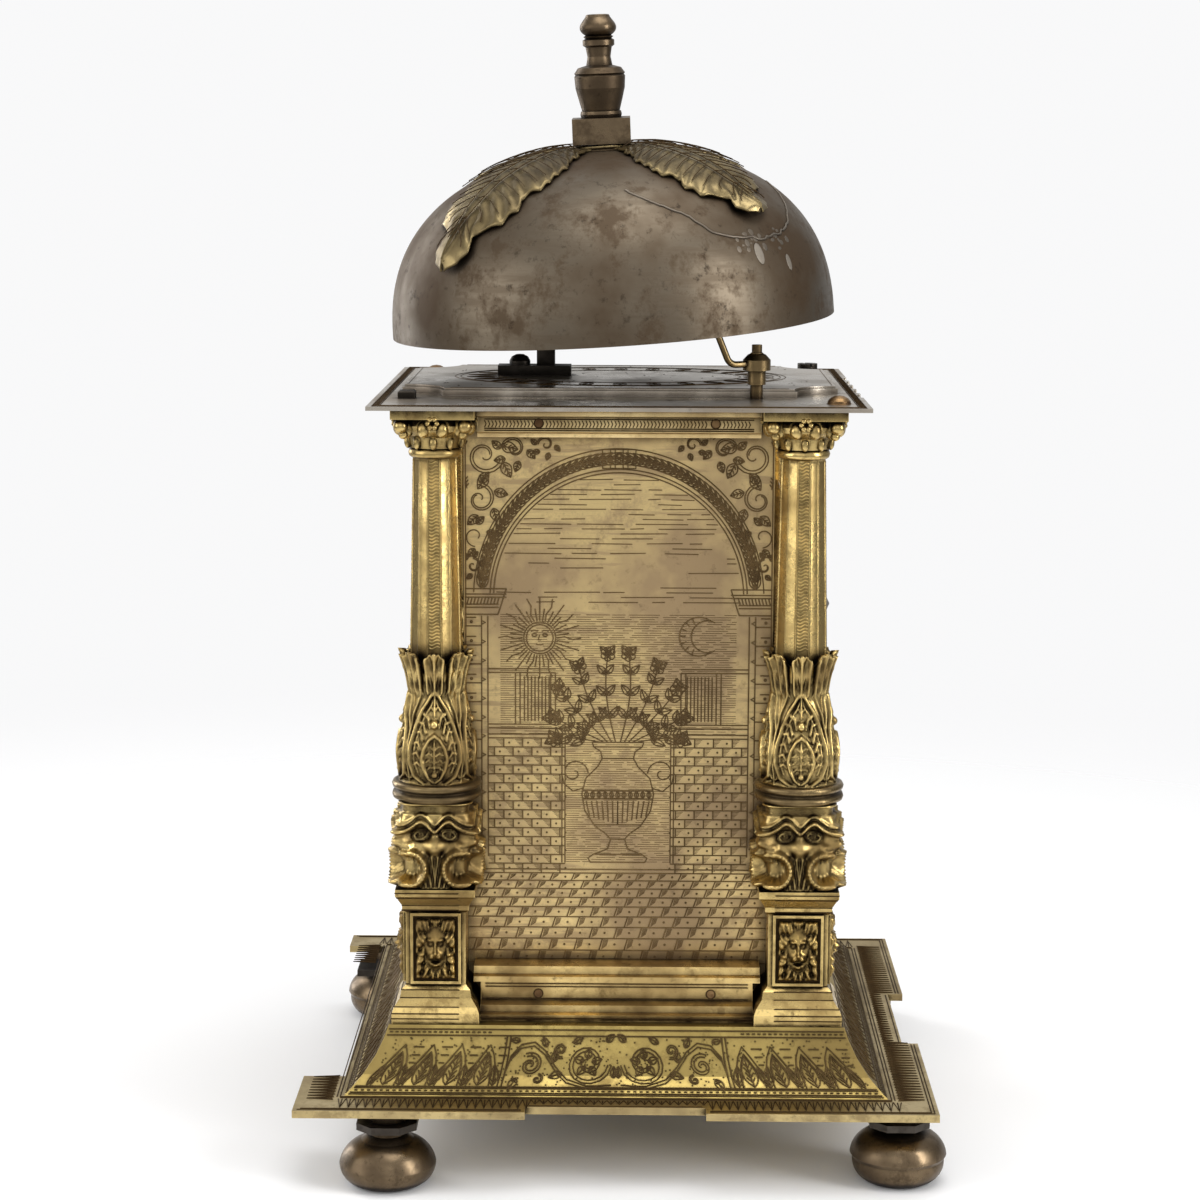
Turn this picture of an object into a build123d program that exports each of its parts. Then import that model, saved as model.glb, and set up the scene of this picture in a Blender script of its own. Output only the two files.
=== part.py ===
from build123d import *
from math import acos, atan2, cos, degrees, hypot, pi, radians, sin, sqrt
import os

# Tabernacle clock, millimetres. +Z is up and the origin is the centre of the foot contact plane.
# The dial faces -Y, and -X is the engraved side with the hammer at its dial end.

# Clearances
running = 0.05
face_gap = 0.1
seat_gap = 0.3
wheel_gap = 1.8

# Base
foot_height = 19.4
flange_overhang = 11.8
flange_thickness = 1.9
flange_rim = 20.1
lobe_length = 57.5
lobe_step = 4.2
long_recess = 10.6
short_lobe_front = 27.0
short_lobe_back = 12.0
slope_spread = 10.4
slope_margin = 0.7
slope_height = 15.3
slope_wall = 1.6
deck_opening = 22.0

# Feet
bun_radius = 12.1
bun_height = 11.4
foot_neck_radius = 4.5
strap_width = 15.0
strap_thickness = 1.8
strap_drop = 3.0
strap_reach = 22.0
strap_corner = 4.0
foot_insets = {
    "front_left": (13.4, 8.9),
    "front_right": (9.9, 10.9),
    "back_left": (8.9, 22.9),
    "back_right": (8.9, 11.5),
}
ringed_feet = ("front_left", "back_right")

# Columns
column_offset = 6.7
rod_radius = 1.5
rod_head = 2.0
pedestal_height = 34.6
plinth_half = 11.1
die_half = 7.55
pedestal_cap_half = 10.1
mask_height = 22.0
mask_half = 9.7
ring_radius = 11.35
ring_height = 4.8
vase_radius = 10.2
vase_waist_radius = 7.0
vase_height = 33.0
shaft_foot_radius = 6.4
shaft_top_radius = 5.45
shaft_height = 49.5
astragal_height = 2.0
capital_height = 10.3
abacus_half = 10.4
abacus_thickness = 2.7

# Case
case_half = 39.2
panel_thickness = 1.3
lower_moulding_height = 12.4
upper_moulding_height = 8.0
lower_moulding_reach = 14.8
upper_moulding_reach = 10.8
plug_radius = 1.1
plug_front = -24.0
plug_back = 20.0
sheet_overhang = 5.5
sheet_thickness = 1.0
upper_plate_thickness = 2.0
upper_plate_left_inset = 30.8
upper_plate_right_inset = 15.8
upper_plate_side_inset = 5.8
upper_plate_notch = 11.0
upper_plate_bevel = 0.6

# Fasteners on the top
fastener_radius = 1.4
rivet_head_radius = 3.0
screw_head_radius = 2.8
screw_shank = 1.5
screw_shift = 7.0
slot_width = 0.8
left_rivet_inset = (13.1, 7.4)
right_rivet_inset = (19.3, 10.3)
corner_screw_inset = (6.3, 9.2)
latch_inset = (24.3, 8.3)
latch_side = 4.4

# Dial
dial_rise = 99.4
chapter_outer = 33.0
chapter_inner = 21.0
chapter_thickness = 3.2
hand_length = 27.0
hand_thickness = 1.2
hand_square = 2.6
knob_length = 10.5
hour_pipe_radius = 2.6
winding_hole = 2.6
winding_reach = 2.8
winding_square = 2.5

# Bell and what stands over it
bell_radius = 58.0
bell_height = 45.3
bell_wall = 2.3
bell_roundness = 2.35
bell_lift = 14.6
bell_shift = 1.9
bell_lean = 3.8
bell_tip = 2.1
bell_hole = 2.6
finial_lean = 2.3
washer_radius = 8.6
washer_thickness = 0.4
leaf_thickness = 0.8
leaf_half_width = 8.0
leaf_reaches = {127: 56.5, 232: 51.0, 308: 49.0, 52: 53.0}
block_half = 7.5
block_height = 6.6
urn_radius = 6.6
ball_radius = 4.7
stand_x = 12.0
stand_y = 20.0
stand_half = 2.4
stand_foot_length = 19.5
stand_foot_width = 7.5
stand_foot_thickness = 2.7
stand_foot_front = 6.75
stand_arm_drop = 7.0
stand_arm_thickness = 3.2
stud_radius = 1.6

# Hammer, on an upright arbor that carries a pallet inside the case
hammer_inset = 4.2
hammer_setback = 1.0
hammer_arbor_radius = 1.6
hammer_lift = 7.2
hammer_collar_radius = 3.5
hammer_head_radius = 3.6
hammer_head_half = 2.6
hammer_head_inset = 4.5
hammer_head_bearing = 191.2
hammer_head_rise = 14.5
hammer_wire_radius = 0.85
pallet_rise = 60.5
pallet_height = 8.0
pallet_length = 7.5
pallet_half = 0.9
arbor_foot_rise = 45.5

# Movement frame
floor_rise = 13.4
plate_thickness = 2.5
pillar_foot_inset = 6.0
pillar_bar_gap = 5.5
pillar_side = 3.6
collar_side = 6.6
bar_thickness = 2.0
bar_room = 4.4
middle_half = 1.5
bar_foot_room = 4.9
bar_foot_height = 59.5
bar_stem_half = 15.0
window_half = 11.0
pivot_radius = 0.8
pivot_depth = 1.1
arbor_radius = 1.2
drum_arbor_radius = 1.8
winding_radius = 1.5
side_arbor_inset = 2.0
side_arbor_rise = 53.5

# Wheel trains. Teeth are counts, and a module sets the size of each tooth.
great_teeth = 60
pinion_leaves = 8
great_module = 0.6
second_teeth = 60
second_module = 0.55
third_teeth = 60
third_module = 0.5
crown_radius = 11.0
crown_gap = 5.9
crown_teeth = 21
crown_tooth_height = 2.4
report_teeth = 20
idler_teeth = 60
hour_teeth = 48
motion_module = 0.75
pin_wheel_teeth = 64
locking_teeth = 56
strike_module = 0.5
count_report_teeth = 20
count_teeth = 26
count_module = 1.0
count_disc_radius = 17.0
count_disc_thickness = 0.8
count_notch = 1.6
blows = 78
lift_pins = 8
lift_pin_circle = 14.0
lift_pin_radius = 0.8
lift_pin_length = 4.7
wheel_thickness = 1.4
thin_wheel = 1.2
pinion_length = 4.0
barrel_radius = 13.0
barrel_rim = 0.7
barrel_x = 18.0
barrel_front = 6.5
barrel_room = 10.0
fusee_large = 13.0
fusee_small = 6.5
fusee_turns = 6
gut_radius = 0.5
gut_wrap = 80
going_great_x = 16.12
going_great_rise = 19.5
strike_great_rise = 24.5
strike_arbor_x = 2.0
balance_gap = 3.3
balance_thickness = 1.8
balance_lift = 4.0
verge_radius = 0.9
verge_pivot = 0.6
verge_flag = 2.8
verge_gap = 3.2
fly_radius = 12.0
fly_gap = 2.9

# Depths of the wheels from the middle bar, alike on the going side and the strike side
inner_pinion_low = 2.8
great_low = 3.9
fast_pinion_low = 4.0
thin_wheel_low = 5.4
outer_pinion_inset = 4.7
pin_wheel_inset = 3.6
second_inset = 3.4

# Heights that follow, from the feet up
flange_top = foot_height + flange_thickness
deck_top = flange_top + slope_height
pedestal_top = deck_top + pedestal_height
mask_top = pedestal_top + mask_height
ring_top = mask_top + ring_height
vase_top = ring_top + vase_height
shaft_top = vase_top + shaft_height
capital_foot = shaft_top + astragal_height
sheet_bottom = capital_foot + capital_height
sheet_top = sheet_bottom + sheet_thickness
upper_top = sheet_top + upper_plate_thickness
movement_floor = deck_top + floor_rise
plate_top = movement_floor + plate_thickness
dial_height = deck_top + dial_rise

# Breadths that follow, from the case outwards
column_axis = case_half + column_offset
slope_top_half = column_axis + plinth_half + slope_margin
slope_foot_half = slope_top_half + slope_spread
flange_half = slope_foot_half + flange_overhang
flange_opening = slope_foot_half - flange_rim
sheet_half = column_axis + abacus_half + sheet_overhang
upper_plate_left = sheet_half - upper_plate_left_inset
upper_plate_right = sheet_half - upper_plate_right_inset
upper_plate_half = sheet_half - upper_plate_side_inset
lower_moulding_front = case_half + lower_moulding_reach
upper_moulding_front = case_half + upper_moulding_reach


def corner_inset(half, sides, inset):
    # A place drawn in from one corner of a square, with the corner's sides as -1 or 1
    return tuple(side * (half - share) for side, share in zip(sides, inset))


corner_sides = {"front_left": (-1, -1), "front_right": (1, -1), "back_left": (-1, 1), "back_right": (1, 1)}
foot_places = {
    name: corner_inset(flange_half, corner_sides[name], inset)
    for name, inset in foot_insets.items()
}
domed_rivets = [
    corner_inset(sheet_half, corner_sides["front_left"], left_rivet_inset),
    corner_inset(sheet_half, corner_sides["back_right"], right_rivet_inset),
]
corner_screw = corner_inset(sheet_half, corner_sides["front_right"], corner_screw_inset)
latch_place = corner_inset(sheet_half, corner_sides["back_left"], latch_inset)

# Breadths and depths that follow, from the case inwards
panel_inner = case_half - panel_thickness
bar_out = panel_inner - bar_room
bar_foot_half = panel_inner - bar_foot_room
pillar_x = bar_foot_half - pillar_foot_inset
pillar_y = bar_out - pillar_bar_gap
sheet_opening = pillar_x + pillar_side / 2 + 0.5
side_arbor_x = bar_foot_half - side_arbor_inset
bar_in = bar_out - bar_thickness
outer_pinion_low = bar_in - outer_pinion_inset
pin_wheel_low = bar_in - pin_wheel_inset
second_low = bar_in - second_inset
barrel_back = bar_in - barrel_room
arbor_end = bar_in - seat_gap
arbor_start = middle_half + seat_gap
pivot_tip = middle_half - pivot_depth
corners = [(sx * column_axis, sy * column_axis) for sy in (-1, 1) for sx in (-1, 1)]
corner_names = ["front_left", "front_right", "back_left", "back_right"]

os.makedirs("parts", exist_ok=True)


def facing(y):
    # A sketch plane at depth y whose coordinates are X and Z. Positive extrusion runs towards the dial.
    return Plane(origin=(0, y, 0), x_dir=(1, 0, 0), z_dir=(0, -1, 0))


def upright(plane):
    # A sketch plane that holds the given plane's axis, for turned outlines of (radius, height)
    return Plane(origin=plane.origin, x_dir=plane.x_dir, z_dir=-plane.y_dir)


def axis_plane(place):
    # The ground plane moved under an upright axis
    return Plane(origin=(place[0], place[1], 0))


def tilted(origin, axis):
    # A plane square to a leaning axis, with its X direction kept in the clock's XZ plane
    return Plane(origin=origin, x_dir=Vector(0, 1, 0).cross(axis), z_dir=axis)


def turn(plane, outline):
    # A solid of revolution about the plane's normal
    with BuildSketch(upright(plane)) as section:
        with BuildLine():
            Polyline(*outline, close=True)
        make_face()
    revolve(section.sketch, axis=Axis(plane.origin, plane.z_dir))


def turn_arbor(place, outline):
    # A solid of revolution about a front-to-back axis, for outlines of (radius, y)
    x, z = place
    with BuildSketch(Plane(origin=(x, 0, z), x_dir=(0, 0, 1), z_dir=(-1, 0, 0))) as section:
        with BuildLine():
            Polyline(*outline, close=True)
        make_face()
    revolve(section.sketch, axis=Axis((x, 0, z), (0, 1, 0)))


def rod(place, radius, y_low, y_high, mode=Mode.ADD):
    # A round length of arbor, pin or hole between two depths
    with BuildSketch(facing(y_high)) as section:
        with Locations(place):
            Circle(radius)
    extrude(section.sketch, amount=y_high - y_low, mode=mode)


def post(place, radius, low, high, mode=Mode.ADD):
    # A round upright length or hole between two heights
    with BuildSketch(Plane.XY.offset(low)) as section:
        with Locations(place):
            Circle(radius)
    extrude(section.sketch, amount=high - low, mode=mode)


def slab(x_range, y_range, z_range, mode=Mode.ADD):
    # A rectangular block between limits on each axis
    with BuildSketch(Plane.XY.offset(z_range[0])) as section:
        with Locations(((x_range[0] + x_range[1]) / 2, (y_range[0] + y_range[1]) / 2)):
            Rectangle(x_range[1] - x_range[0], y_range[1] - y_range[0])
    extrude(section.sketch, amount=z_range[1] - z_range[0], mode=mode)


def square_stack(place, levels, mode=Mode.ADD):
    # Square sections joined by flat faces, from (half width, height)
    sections = []
    for half, height in levels:
        with BuildSketch(Plane.XY.offset(height)) as section:
            with Locations(place):
                Rectangle(2 * half, 2 * half)
        sections.append(section.sketch)
    loft(sections, ruled=True, mode=mode)


def clear_of_case():
    # The corner of the case box reaches into each column piece, which is cut back for it
    edge = case_half + face_gap
    slab((-edge, edge), (-edge, edge), (0, sheet_top), Mode.SUBTRACT)


def tooth_outline(teeth, module, phase):
    # Straight-sided teeth: each has two root corners and two tip corners
    pitch = 2 * pi / teeth
    root = teeth * module / 2 - 0.8 * module
    tip = teeth * module / 2 + 0.6 * module
    points = []
    for tooth in range(teeth):
        for radius, share in ((root, -0.23), (tip, -0.10), (tip, 0.10), (root, 0.23)):
            turned = phase + (tooth + share) * pitch
            points.append((radius * cos(turned), radius * sin(turned)))
    return points


def toothed_wheel(place, teeth, module, y_low, thickness, phase, crossed=True):
    # A wheel or pinion. A crossed wheel has a rim, four arms and a hub.
    rim_inside = teeth * module / 2 - 4 * module
    with BuildSketch(facing(y_low + thickness)) as section:
        with Locations(place):
            Polygon(*tooth_outline(teeth, module, phase), align=None)
            if crossed:
                Circle(rim_inside, mode=Mode.SUBTRACT)
                Rectangle(2 * rim_inside + module, 2.4)
                Rectangle(2.4, 2 * rim_inside + module)
                Circle(3.4)
    extrude(section.sketch, amount=thickness)


def pitch_radius(teeth, module):
    return teeth * module / 2


def next_phase(driver, driver_teeth, driver_phase, driven, driven_teeth):
    # The driven wheel's tooth angle that puts its gap on the driver's tooth at the line of centres
    line = atan2(driven[1] - driver[1], driven[0] - driver[0])
    return line + pi + pi / driven_teeth - (driver_phase - line) * driver_teeth / driven_teeth


def above(place, x, reach):
    # The arbor place at the given x that lies one centre distance above another arbor
    return (x, place[1] + sqrt(reach**2 - (x - place[0]) ** 2))


def arbor(place, y_low, y_high, tip_low, tip_high, radius):
    # A round arbor with a thinner pivot at each end
    rod(place, radius, y_low, y_high)
    rod(place, pivot_radius, tip_low, tip_high)


# Base flange with its lobed edge. The clock's back edge has two short lobes of unequal length.
lobe_end = flange_half - lobe_length
flange_outline = [
    (-flange_half, -flange_half),
    (-lobe_end, -flange_half),
    (-lobe_end, lobe_step - flange_half),
    (lobe_end, lobe_step - flange_half),
    (lobe_end, -flange_half),
    (flange_half, -flange_half),
    (flange_half, -lobe_end),
    (flange_half - lobe_step, -lobe_end),
    (flange_half - lobe_step, lobe_end),
    (flange_half, lobe_end),
    (flange_half, flange_half),
    (flange_half - short_lobe_back, flange_half),
    (flange_half - short_lobe_back, flange_half - long_recess),
    (short_lobe_front - flange_half, flange_half - long_recess),
    (short_lobe_front - flange_half, flange_half),
    (-flange_half, flange_half),
    (-flange_half, lobe_end),
    (lobe_step - flange_half, lobe_end),
    (lobe_step - flange_half, -lobe_end),
    (-flange_half, -lobe_end),
]
with BuildPart() as base_flange:
    with BuildSketch(Plane.XY.offset(foot_height)):
        Polygon(*flange_outline, align=None)
        Rectangle(2 * flange_opening, 2 * flange_opening, mode=Mode.SUBTRACT)
    extrude(amount=flange_thickness)
base_flange.part.label = "base_flange"
export_step(base_flange.part, "parts/base_flange.step")

# Base slope: a hollow flared skirt, steep above and shallow below, with the deck that carries the columns
slope_run = slope_foot_half - slope_top_half
slope_levels = [
    (slope_foot_half, flange_top),
    (slope_foot_half - 0.12 * slope_run, flange_top + 0.07 * slope_height),
    (slope_foot_half - 0.42 * slope_run, flange_top + 0.27 * slope_height),
    (slope_foot_half - 0.70 * slope_run, flange_top + 0.53 * slope_height),
    (slope_foot_half - 0.90 * slope_run, flange_top + 0.80 * slope_height),
    (slope_top_half, deck_top),
]
with BuildPart() as base_slope:
    square_stack((0, 0), slope_levels)
    hollow_levels = slope_levels[:-1] + [(slope_top_half, deck_top - slope_wall)]
    square_stack((0, 0), [(half - slope_wall, height) for half, height in hollow_levels], Mode.SUBTRACT)
    slab(
        (-deck_opening, deck_opening),
        (-deck_opening, deck_opening),
        (flange_top, deck_top),
        Mode.SUBTRACT,
    )
    for corner in corners:
        post(corner, rod_radius + running, flange_top, deck_top, Mode.SUBTRACT)
base_slope.part.label = "base_slope"
export_step(base_slope.part, "parts/base_slope.step")

# Feet: a plain bun, and a bun with a sharp waist line under a taller shoulder. Each has two arcs.
strap_top = foot_height - strap_drop
plain_bun = (
    [(6.6, 0), (10.6, 1.7), (bun_radius, 5.4)],
    [(bun_radius, 5.4), (10.4, 9.0), (6.6, bun_height)],
)
ringed_bun = (
    [(6.0, 0), (10.4, 2.1), (bun_radius - 0.6, 6.2)],
    [(bun_radius, 7.2), (10.8, 10.4), (7.6, bun_height + 1.2)],
)
for name, place in foot_places.items():
    below, over = ringed_bun if name in ringed_feet else plain_bun
    neck_foot = over[-1][1] + 1.4
    with BuildPart() as foot:
        with BuildSketch(upright(axis_plane(place))):
            with BuildLine():
                Line((0, 0), below[0])
                ThreePointArc(*below)
                if name in ringed_feet:
                    Line(below[-1], over[0])
                ThreePointArc(*over)
                Polyline(over[-1], (foot_neck_radius, neck_foot), (foot_neck_radius, foot_height))
                Line((foot_neck_radius, foot_height), (0, foot_height))
                Line((0, foot_height), (0, 0))
            make_face()
        revolve(axis=Axis(axis_plane(place).origin, (0, 0, 1)))
    foot.part.label = f"foot_{name}"
    export_step(foot.part, f"parts/foot_{name}.step")

# Foot straps: each is held at the foot's neck and cranks up to the flange further in
with BuildPart() as foot_plates:
    for x, y in foot_places.values():
        inward = -1 if x > 0 else 1
        outer = x - inward * strap_width / 2
        bend = x + inward * strap_width / 2
        inner = x + inward * strap_reach
        under = strap_top - strap_thickness
        with BuildSketch(facing(y + strap_width / 2)):
            with BuildLine():
                Polyline(
                    (outer, strap_top),
                    (bend, strap_top),
                    (bend + inward * strap_drop, foot_height),
                    (inner, foot_height),
                    (inner, foot_height - strap_thickness),
                    (bend + inward * (strap_drop + 1), foot_height - strap_thickness),
                    (bend + inward, under),
                    (outer, under),
                    close=True,
                )
            make_face()
        extrude(amount=strap_width)
        with BuildSketch(Plane.XY.offset(under)):
            for side in (-1, 1):
                with BuildLine():
                    Polyline(
                        (outer, y + side * strap_width / 2),
                        (outer + inward * strap_corner, y + side * strap_width / 2),
                        (outer, y + side * (strap_width / 2 - strap_corner)),
                        close=True,
                    )
                make_face()
        extrude(amount=strap_thickness, mode=Mode.SUBTRACT)
        post((x, y), foot_neck_radius + running, under, foot_height, Mode.SUBTRACT)
foot_plates.part.label = "foot_plates"
export_step(foot_plates.part, "parts/foot_plates.step")

# Pedestals: plinth moulding, die and cap
pedestal_levels = [
    (plinth_half, deck_top),
    (plinth_half, deck_top + 2.6),
    (plinth_half - 0.6, deck_top + 4.2),
    (die_half + 1.5, deck_top + 6.2),
    (die_half + 1.2, deck_top + 8.2),
    (die_half, deck_top + 9.4),
    (die_half, pedestal_top - 6.4),
    (die_half + 0.9, pedestal_top - 5.6),
    (die_half + 0.9, pedestal_top - 4.4),
    (pedestal_cap_half - 0.4, pedestal_top - 2.2),
    (pedestal_cap_half, pedestal_top - 1.8),
    (pedestal_cap_half, pedestal_top),
]
with BuildPart() as pedestals:
    for corner in corners:
        square_stack(corner, pedestal_levels)
        post(corner, rod_radius + running, deck_top, pedestal_top, Mode.SUBTRACT)
    clear_of_case()
pedestals.part.label = "pedestals"
export_step(pedestals.part, "parts/pedestals.step")

# Mask blocks: four heads swell outwards under a thin plate
mask_levels = [
    (mask_half + 0.3, pedestal_top),
    (mask_half + 0.3, pedestal_top + 1.3),
    (mask_half - 1.4, pedestal_top + 1.6),
    (mask_half - 0.9, pedestal_top + 0.23 * mask_height),
    (mask_half - 1.7, pedestal_top + 0.48 * mask_height),
    (mask_half - 0.2, pedestal_top + 0.64 * mask_height),
    (mask_half - 0.6, pedestal_top + 0.80 * mask_height),
    (mask_half, pedestal_top + 0.92 * mask_height),
    (mask_half - 1.6, mask_top),
]
with BuildPart() as mask_blocks:
    for corner in corners:
        square_stack(corner, mask_levels)
        post(corner, rod_radius + running, pedestal_top, mask_top, Mode.SUBTRACT)
    clear_of_case()
mask_blocks.part.label = "mask_blocks"
export_step(mask_blocks.part, "parts/mask_blocks.step")

# Columns: ring, leaf vase and tapering shaft, turned in one
rod_hole = rod_radius + running
vase_belly = (vase_radius, ring_top + 0.22 * vase_height)
vase_hip = (vase_waist_radius + 1.6, ring_top + 0.50 * vase_height)
vase_waist = (vase_waist_radius, ring_top + 0.70 * vase_height)
vase_lip = (vase_waist_radius + 1.5, vase_top)
for name, corner in zip(corner_names, corners):
    with BuildPart() as column:
        with BuildSketch(upright(axis_plane(corner))):
            with BuildLine():
                Polyline(
                    (rod_hole, capital_foot),
                    (rod_hole, mask_top),
                    (ring_radius - 0.8, mask_top),
                    (ring_radius, mask_top + 1.0),
                    (ring_radius, mask_top + 1.7),
                    (ring_radius - 1.0, mask_top + 0.5 * ring_height),
                    (ring_radius, ring_top - 1.7),
                    (ring_radius - 0.4, ring_top),
                    (vase_radius - 0.9, ring_top),
                )
                ThreePointArc((vase_radius - 0.9, ring_top), vase_belly, vase_hip)
                ThreePointArc(vase_hip, vase_waist, vase_lip)
                Polyline(
                    vase_lip,
                    (shaft_foot_radius, vase_top + 0.5),
                    (shaft_top_radius, shaft_top - 1.2),
                    (shaft_top_radius + 0.5, shaft_top - 1.0),
                    (shaft_top_radius + 0.5, shaft_top - 0.2),
                    (shaft_top_radius + 0.9, shaft_top),
                    (shaft_top_radius + 1.2, shaft_top + 0.5 * astragal_height),
                    (shaft_top_radius + 0.6, capital_foot),
                    (rod_hole, capital_foot),
                )
            make_face()
        revolve(axis=Axis(axis_plane(corner).origin, (0, 0, 1)))
        clear_of_case()
    column.part.label = f"column_{name}"
    export_step(column.part, f"parts/column_{name}.step")

# Capitals: bell, lobed tier and square abacus
abacus_foot = sheet_bottom - abacus_thickness
capital_outline = [
    (0, capital_foot),
    (shaft_top_radius + 0.9, capital_foot),
    (shaft_top_radius + 1.8, capital_foot + 2.8),
    (shaft_top_radius + 2.6, capital_foot + 3.4),
    (abacus_half - 1.2, capital_foot + 4.4),
    (abacus_half - 0.6, capital_foot + 5.8),
    (abacus_half - 1.2, abacus_foot - 0.6),
    (abacus_half - 1.9, abacus_foot),
    (0, abacus_foot),
]
with BuildPart() as capitals:
    for corner in corners:
        turn(axis_plane(corner), capital_outline)
        with BuildSketch(Plane.XY.offset(abacus_foot)):
            with Locations(corner):
                Rectangle(2 * abacus_half, 2 * abacus_half)
        extrude(amount=abacus_thickness)
        post(corner, rod_hole, capital_foot, sheet_bottom, Mode.SUBTRACT)
    clear_of_case()
capitals.part.label = "capitals"
export_step(capitals.part, "parts/capitals.step")

# Rods through the columns, headed under the base deck
deck_under = deck_top - slope_wall
with BuildPart() as column_rods:
    for corner in corners:
        post(corner, rod_radius, deck_under, sheet_bottom)
        post(corner, rod_radius + rod_head, deck_under - rod_head, deck_under)
column_rods.part.label = "column_rods"
export_step(column_rods.part, "parts/column_rods.step")

# Mouldings between the columns. The lower one widens above the plinths.
lower_top = deck_top + lower_moulding_height
lower_step = lower_top - 3.4
upper_foot = sheet_bottom - upper_moulding_height
moulding_back = case_half + face_gap
narrow_span = column_axis - plinth_half - face_gap
wide_span = column_axis - die_half - 1.7 - face_gap
upper_span = column_axis - abacus_half - face_gap
lower_face = lower_moulding_front - 4.4
upper_face = upper_moulding_front - 2.8
lower_profile = [
    (moulding_back, deck_top),
    (lower_moulding_front, deck_top),
    (lower_moulding_front, deck_top + 1.6),
    (lower_moulding_front - 1.6, deck_top + 2.0),
    (lower_moulding_front - 2.0, deck_top + 3.6),
    (lower_face, deck_top + 4.4),
    (lower_face, lower_step),
    (moulding_back, lower_step),
]
step_profile = [
    (moulding_back, lower_step),
    (lower_face, lower_step),
    (lower_face - 0.6, lower_top - 2.2),
    (lower_face - 2.0, lower_top - 1.8),
    (lower_face - 2.6, lower_top),
    (moulding_back, lower_top),
]
upper_profile = [
    (moulding_back, upper_foot),
    (upper_moulding_front - 5.0, upper_foot),
    (upper_moulding_front - 4.4, upper_foot + 1.0),
    (upper_face, upper_foot + 1.5),
    (upper_face, sheet_bottom - 2.9),
    (upper_moulding_front - 1.2, sheet_bottom - 2.4),
    (upper_moulding_front - 1.0, sheet_bottom - 1.4),
    (upper_moulding_front, sheet_bottom - 1.0),
    (upper_moulding_front, sheet_bottom),
    (moulding_back, sheet_bottom),
]


def side_axes(quarter):
    # The directions out of and along one side of the case
    turned = radians(90 * quarter)
    return Vector(cos(turned), sin(turned), 0), Vector(-sin(turned), cos(turned), 0)


def moulding(quarter, profile, span):
    # A moulding on one side of the case, drawn at its end and run along the side
    out, along = side_axes(quarter)
    with BuildSketch(Plane(origin=along * -span, x_dir=out, z_dir=along * -1)) as section:
        with BuildLine():
            Polyline(*profile, close=True)
        make_face()
    extrude(section.sketch, amount=-2 * span)


def plug_row(radius, height, face, mode=Mode.ADD):
    # A pair of flush plugs, or their holes, through the moulding on each side of the case
    for quarter in range(4):
        out, along = side_axes(quarter)
        for shift in (plug_front, plug_back):
            start = out * moulding_back - along * shift + Vector(0, 0, height)
            with BuildSketch(Plane(origin=start, x_dir=along, z_dir=out)) as section:
                Circle(radius)
            extrude(section.sketch, amount=face - moulding_back, mode=mode)


lower_plug_height = deck_top + 6.0
upper_plug_height = sheet_bottom - 4.3
with BuildPart() as lower_mouldings:
    for quarter in range(4):
        moulding(quarter, lower_profile, narrow_span)
        moulding(quarter, step_profile, wide_span)
    plug_row(plug_radius + running, lower_plug_height, lower_face, Mode.SUBTRACT)
lower_mouldings.part.label = "lower_mouldings"
export_step(lower_mouldings.part, "parts/lower_mouldings.step")

with BuildPart() as upper_mouldings:
    for quarter in range(4):
        moulding(quarter, upper_profile, upper_span)
    plug_row(plug_radius + running, upper_plug_height, upper_face, Mode.SUBTRACT)
upper_mouldings.part.label = "upper_mouldings"
export_step(upper_mouldings.part, "parts/upper_mouldings.step")

# Rivets: the flush plugs of the mouldings and two domed ones at the corners of the top sheet
rivet_head = [
    (0, 0),
    (rivet_head_radius, 0),
    (0.93 * rivet_head_radius, 0.8),
    (0.72 * rivet_head_radius, 1.5),
    (0.4 * rivet_head_radius, 2.0),
    (0, 2.2),
]
with BuildPart() as rivets:
    plug_row(plug_radius, lower_plug_height, lower_face)
    plug_row(plug_radius, upper_plug_height, upper_face)
    for place in domed_rivets:
        post(place, fastener_radius, sheet_bottom, sheet_top)
        turn(Plane(origin=(place[0], place[1], sheet_top)), rivet_head)
rivets.part.label = "rivets"
export_step(rivets.part, "parts/rivets.step")

# Case panels: the side panels run the full depth and the dial plate and back panel fit between them
going_great = (going_great_x, plate_top + going_great_rise)
strike_great = (-going_great_x, plate_top + strike_great_rise)
hour_place = (0, dial_height)
for name, side in (("side_panel_left", -1), ("side_panel_right", 1)):
    with BuildPart() as side_panel:
        faces = sorted((side * panel_inner, side * case_half))
        slab(faces, (-case_half, case_half), (deck_top, sheet_bottom))
    side_panel.part.label = name
    export_step(side_panel.part, f"parts/{name}.step")

with BuildPart() as dial_plate:
    slab((-panel_inner, panel_inner), (-case_half, -panel_inner), (deck_top, sheet_bottom))
    rod(hour_place, hour_pipe_radius + running, -case_half, -panel_inner, Mode.SUBTRACT)
    rod(going_great, winding_hole, -case_half, -panel_inner, Mode.SUBTRACT)
dial_plate.part.label = "dial_plate"
export_step(dial_plate.part, "parts/dial_plate.step")

with BuildPart() as back_panel:
    slab((-panel_inner, panel_inner), (panel_inner, case_half), (deck_top, sheet_bottom))
    rod(strike_great, winding_hole, panel_inner, case_half, Mode.SUBTRACT)
back_panel.part.label = "back_panel"
export_step(back_panel.part, "parts/back_panel.step")

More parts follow.
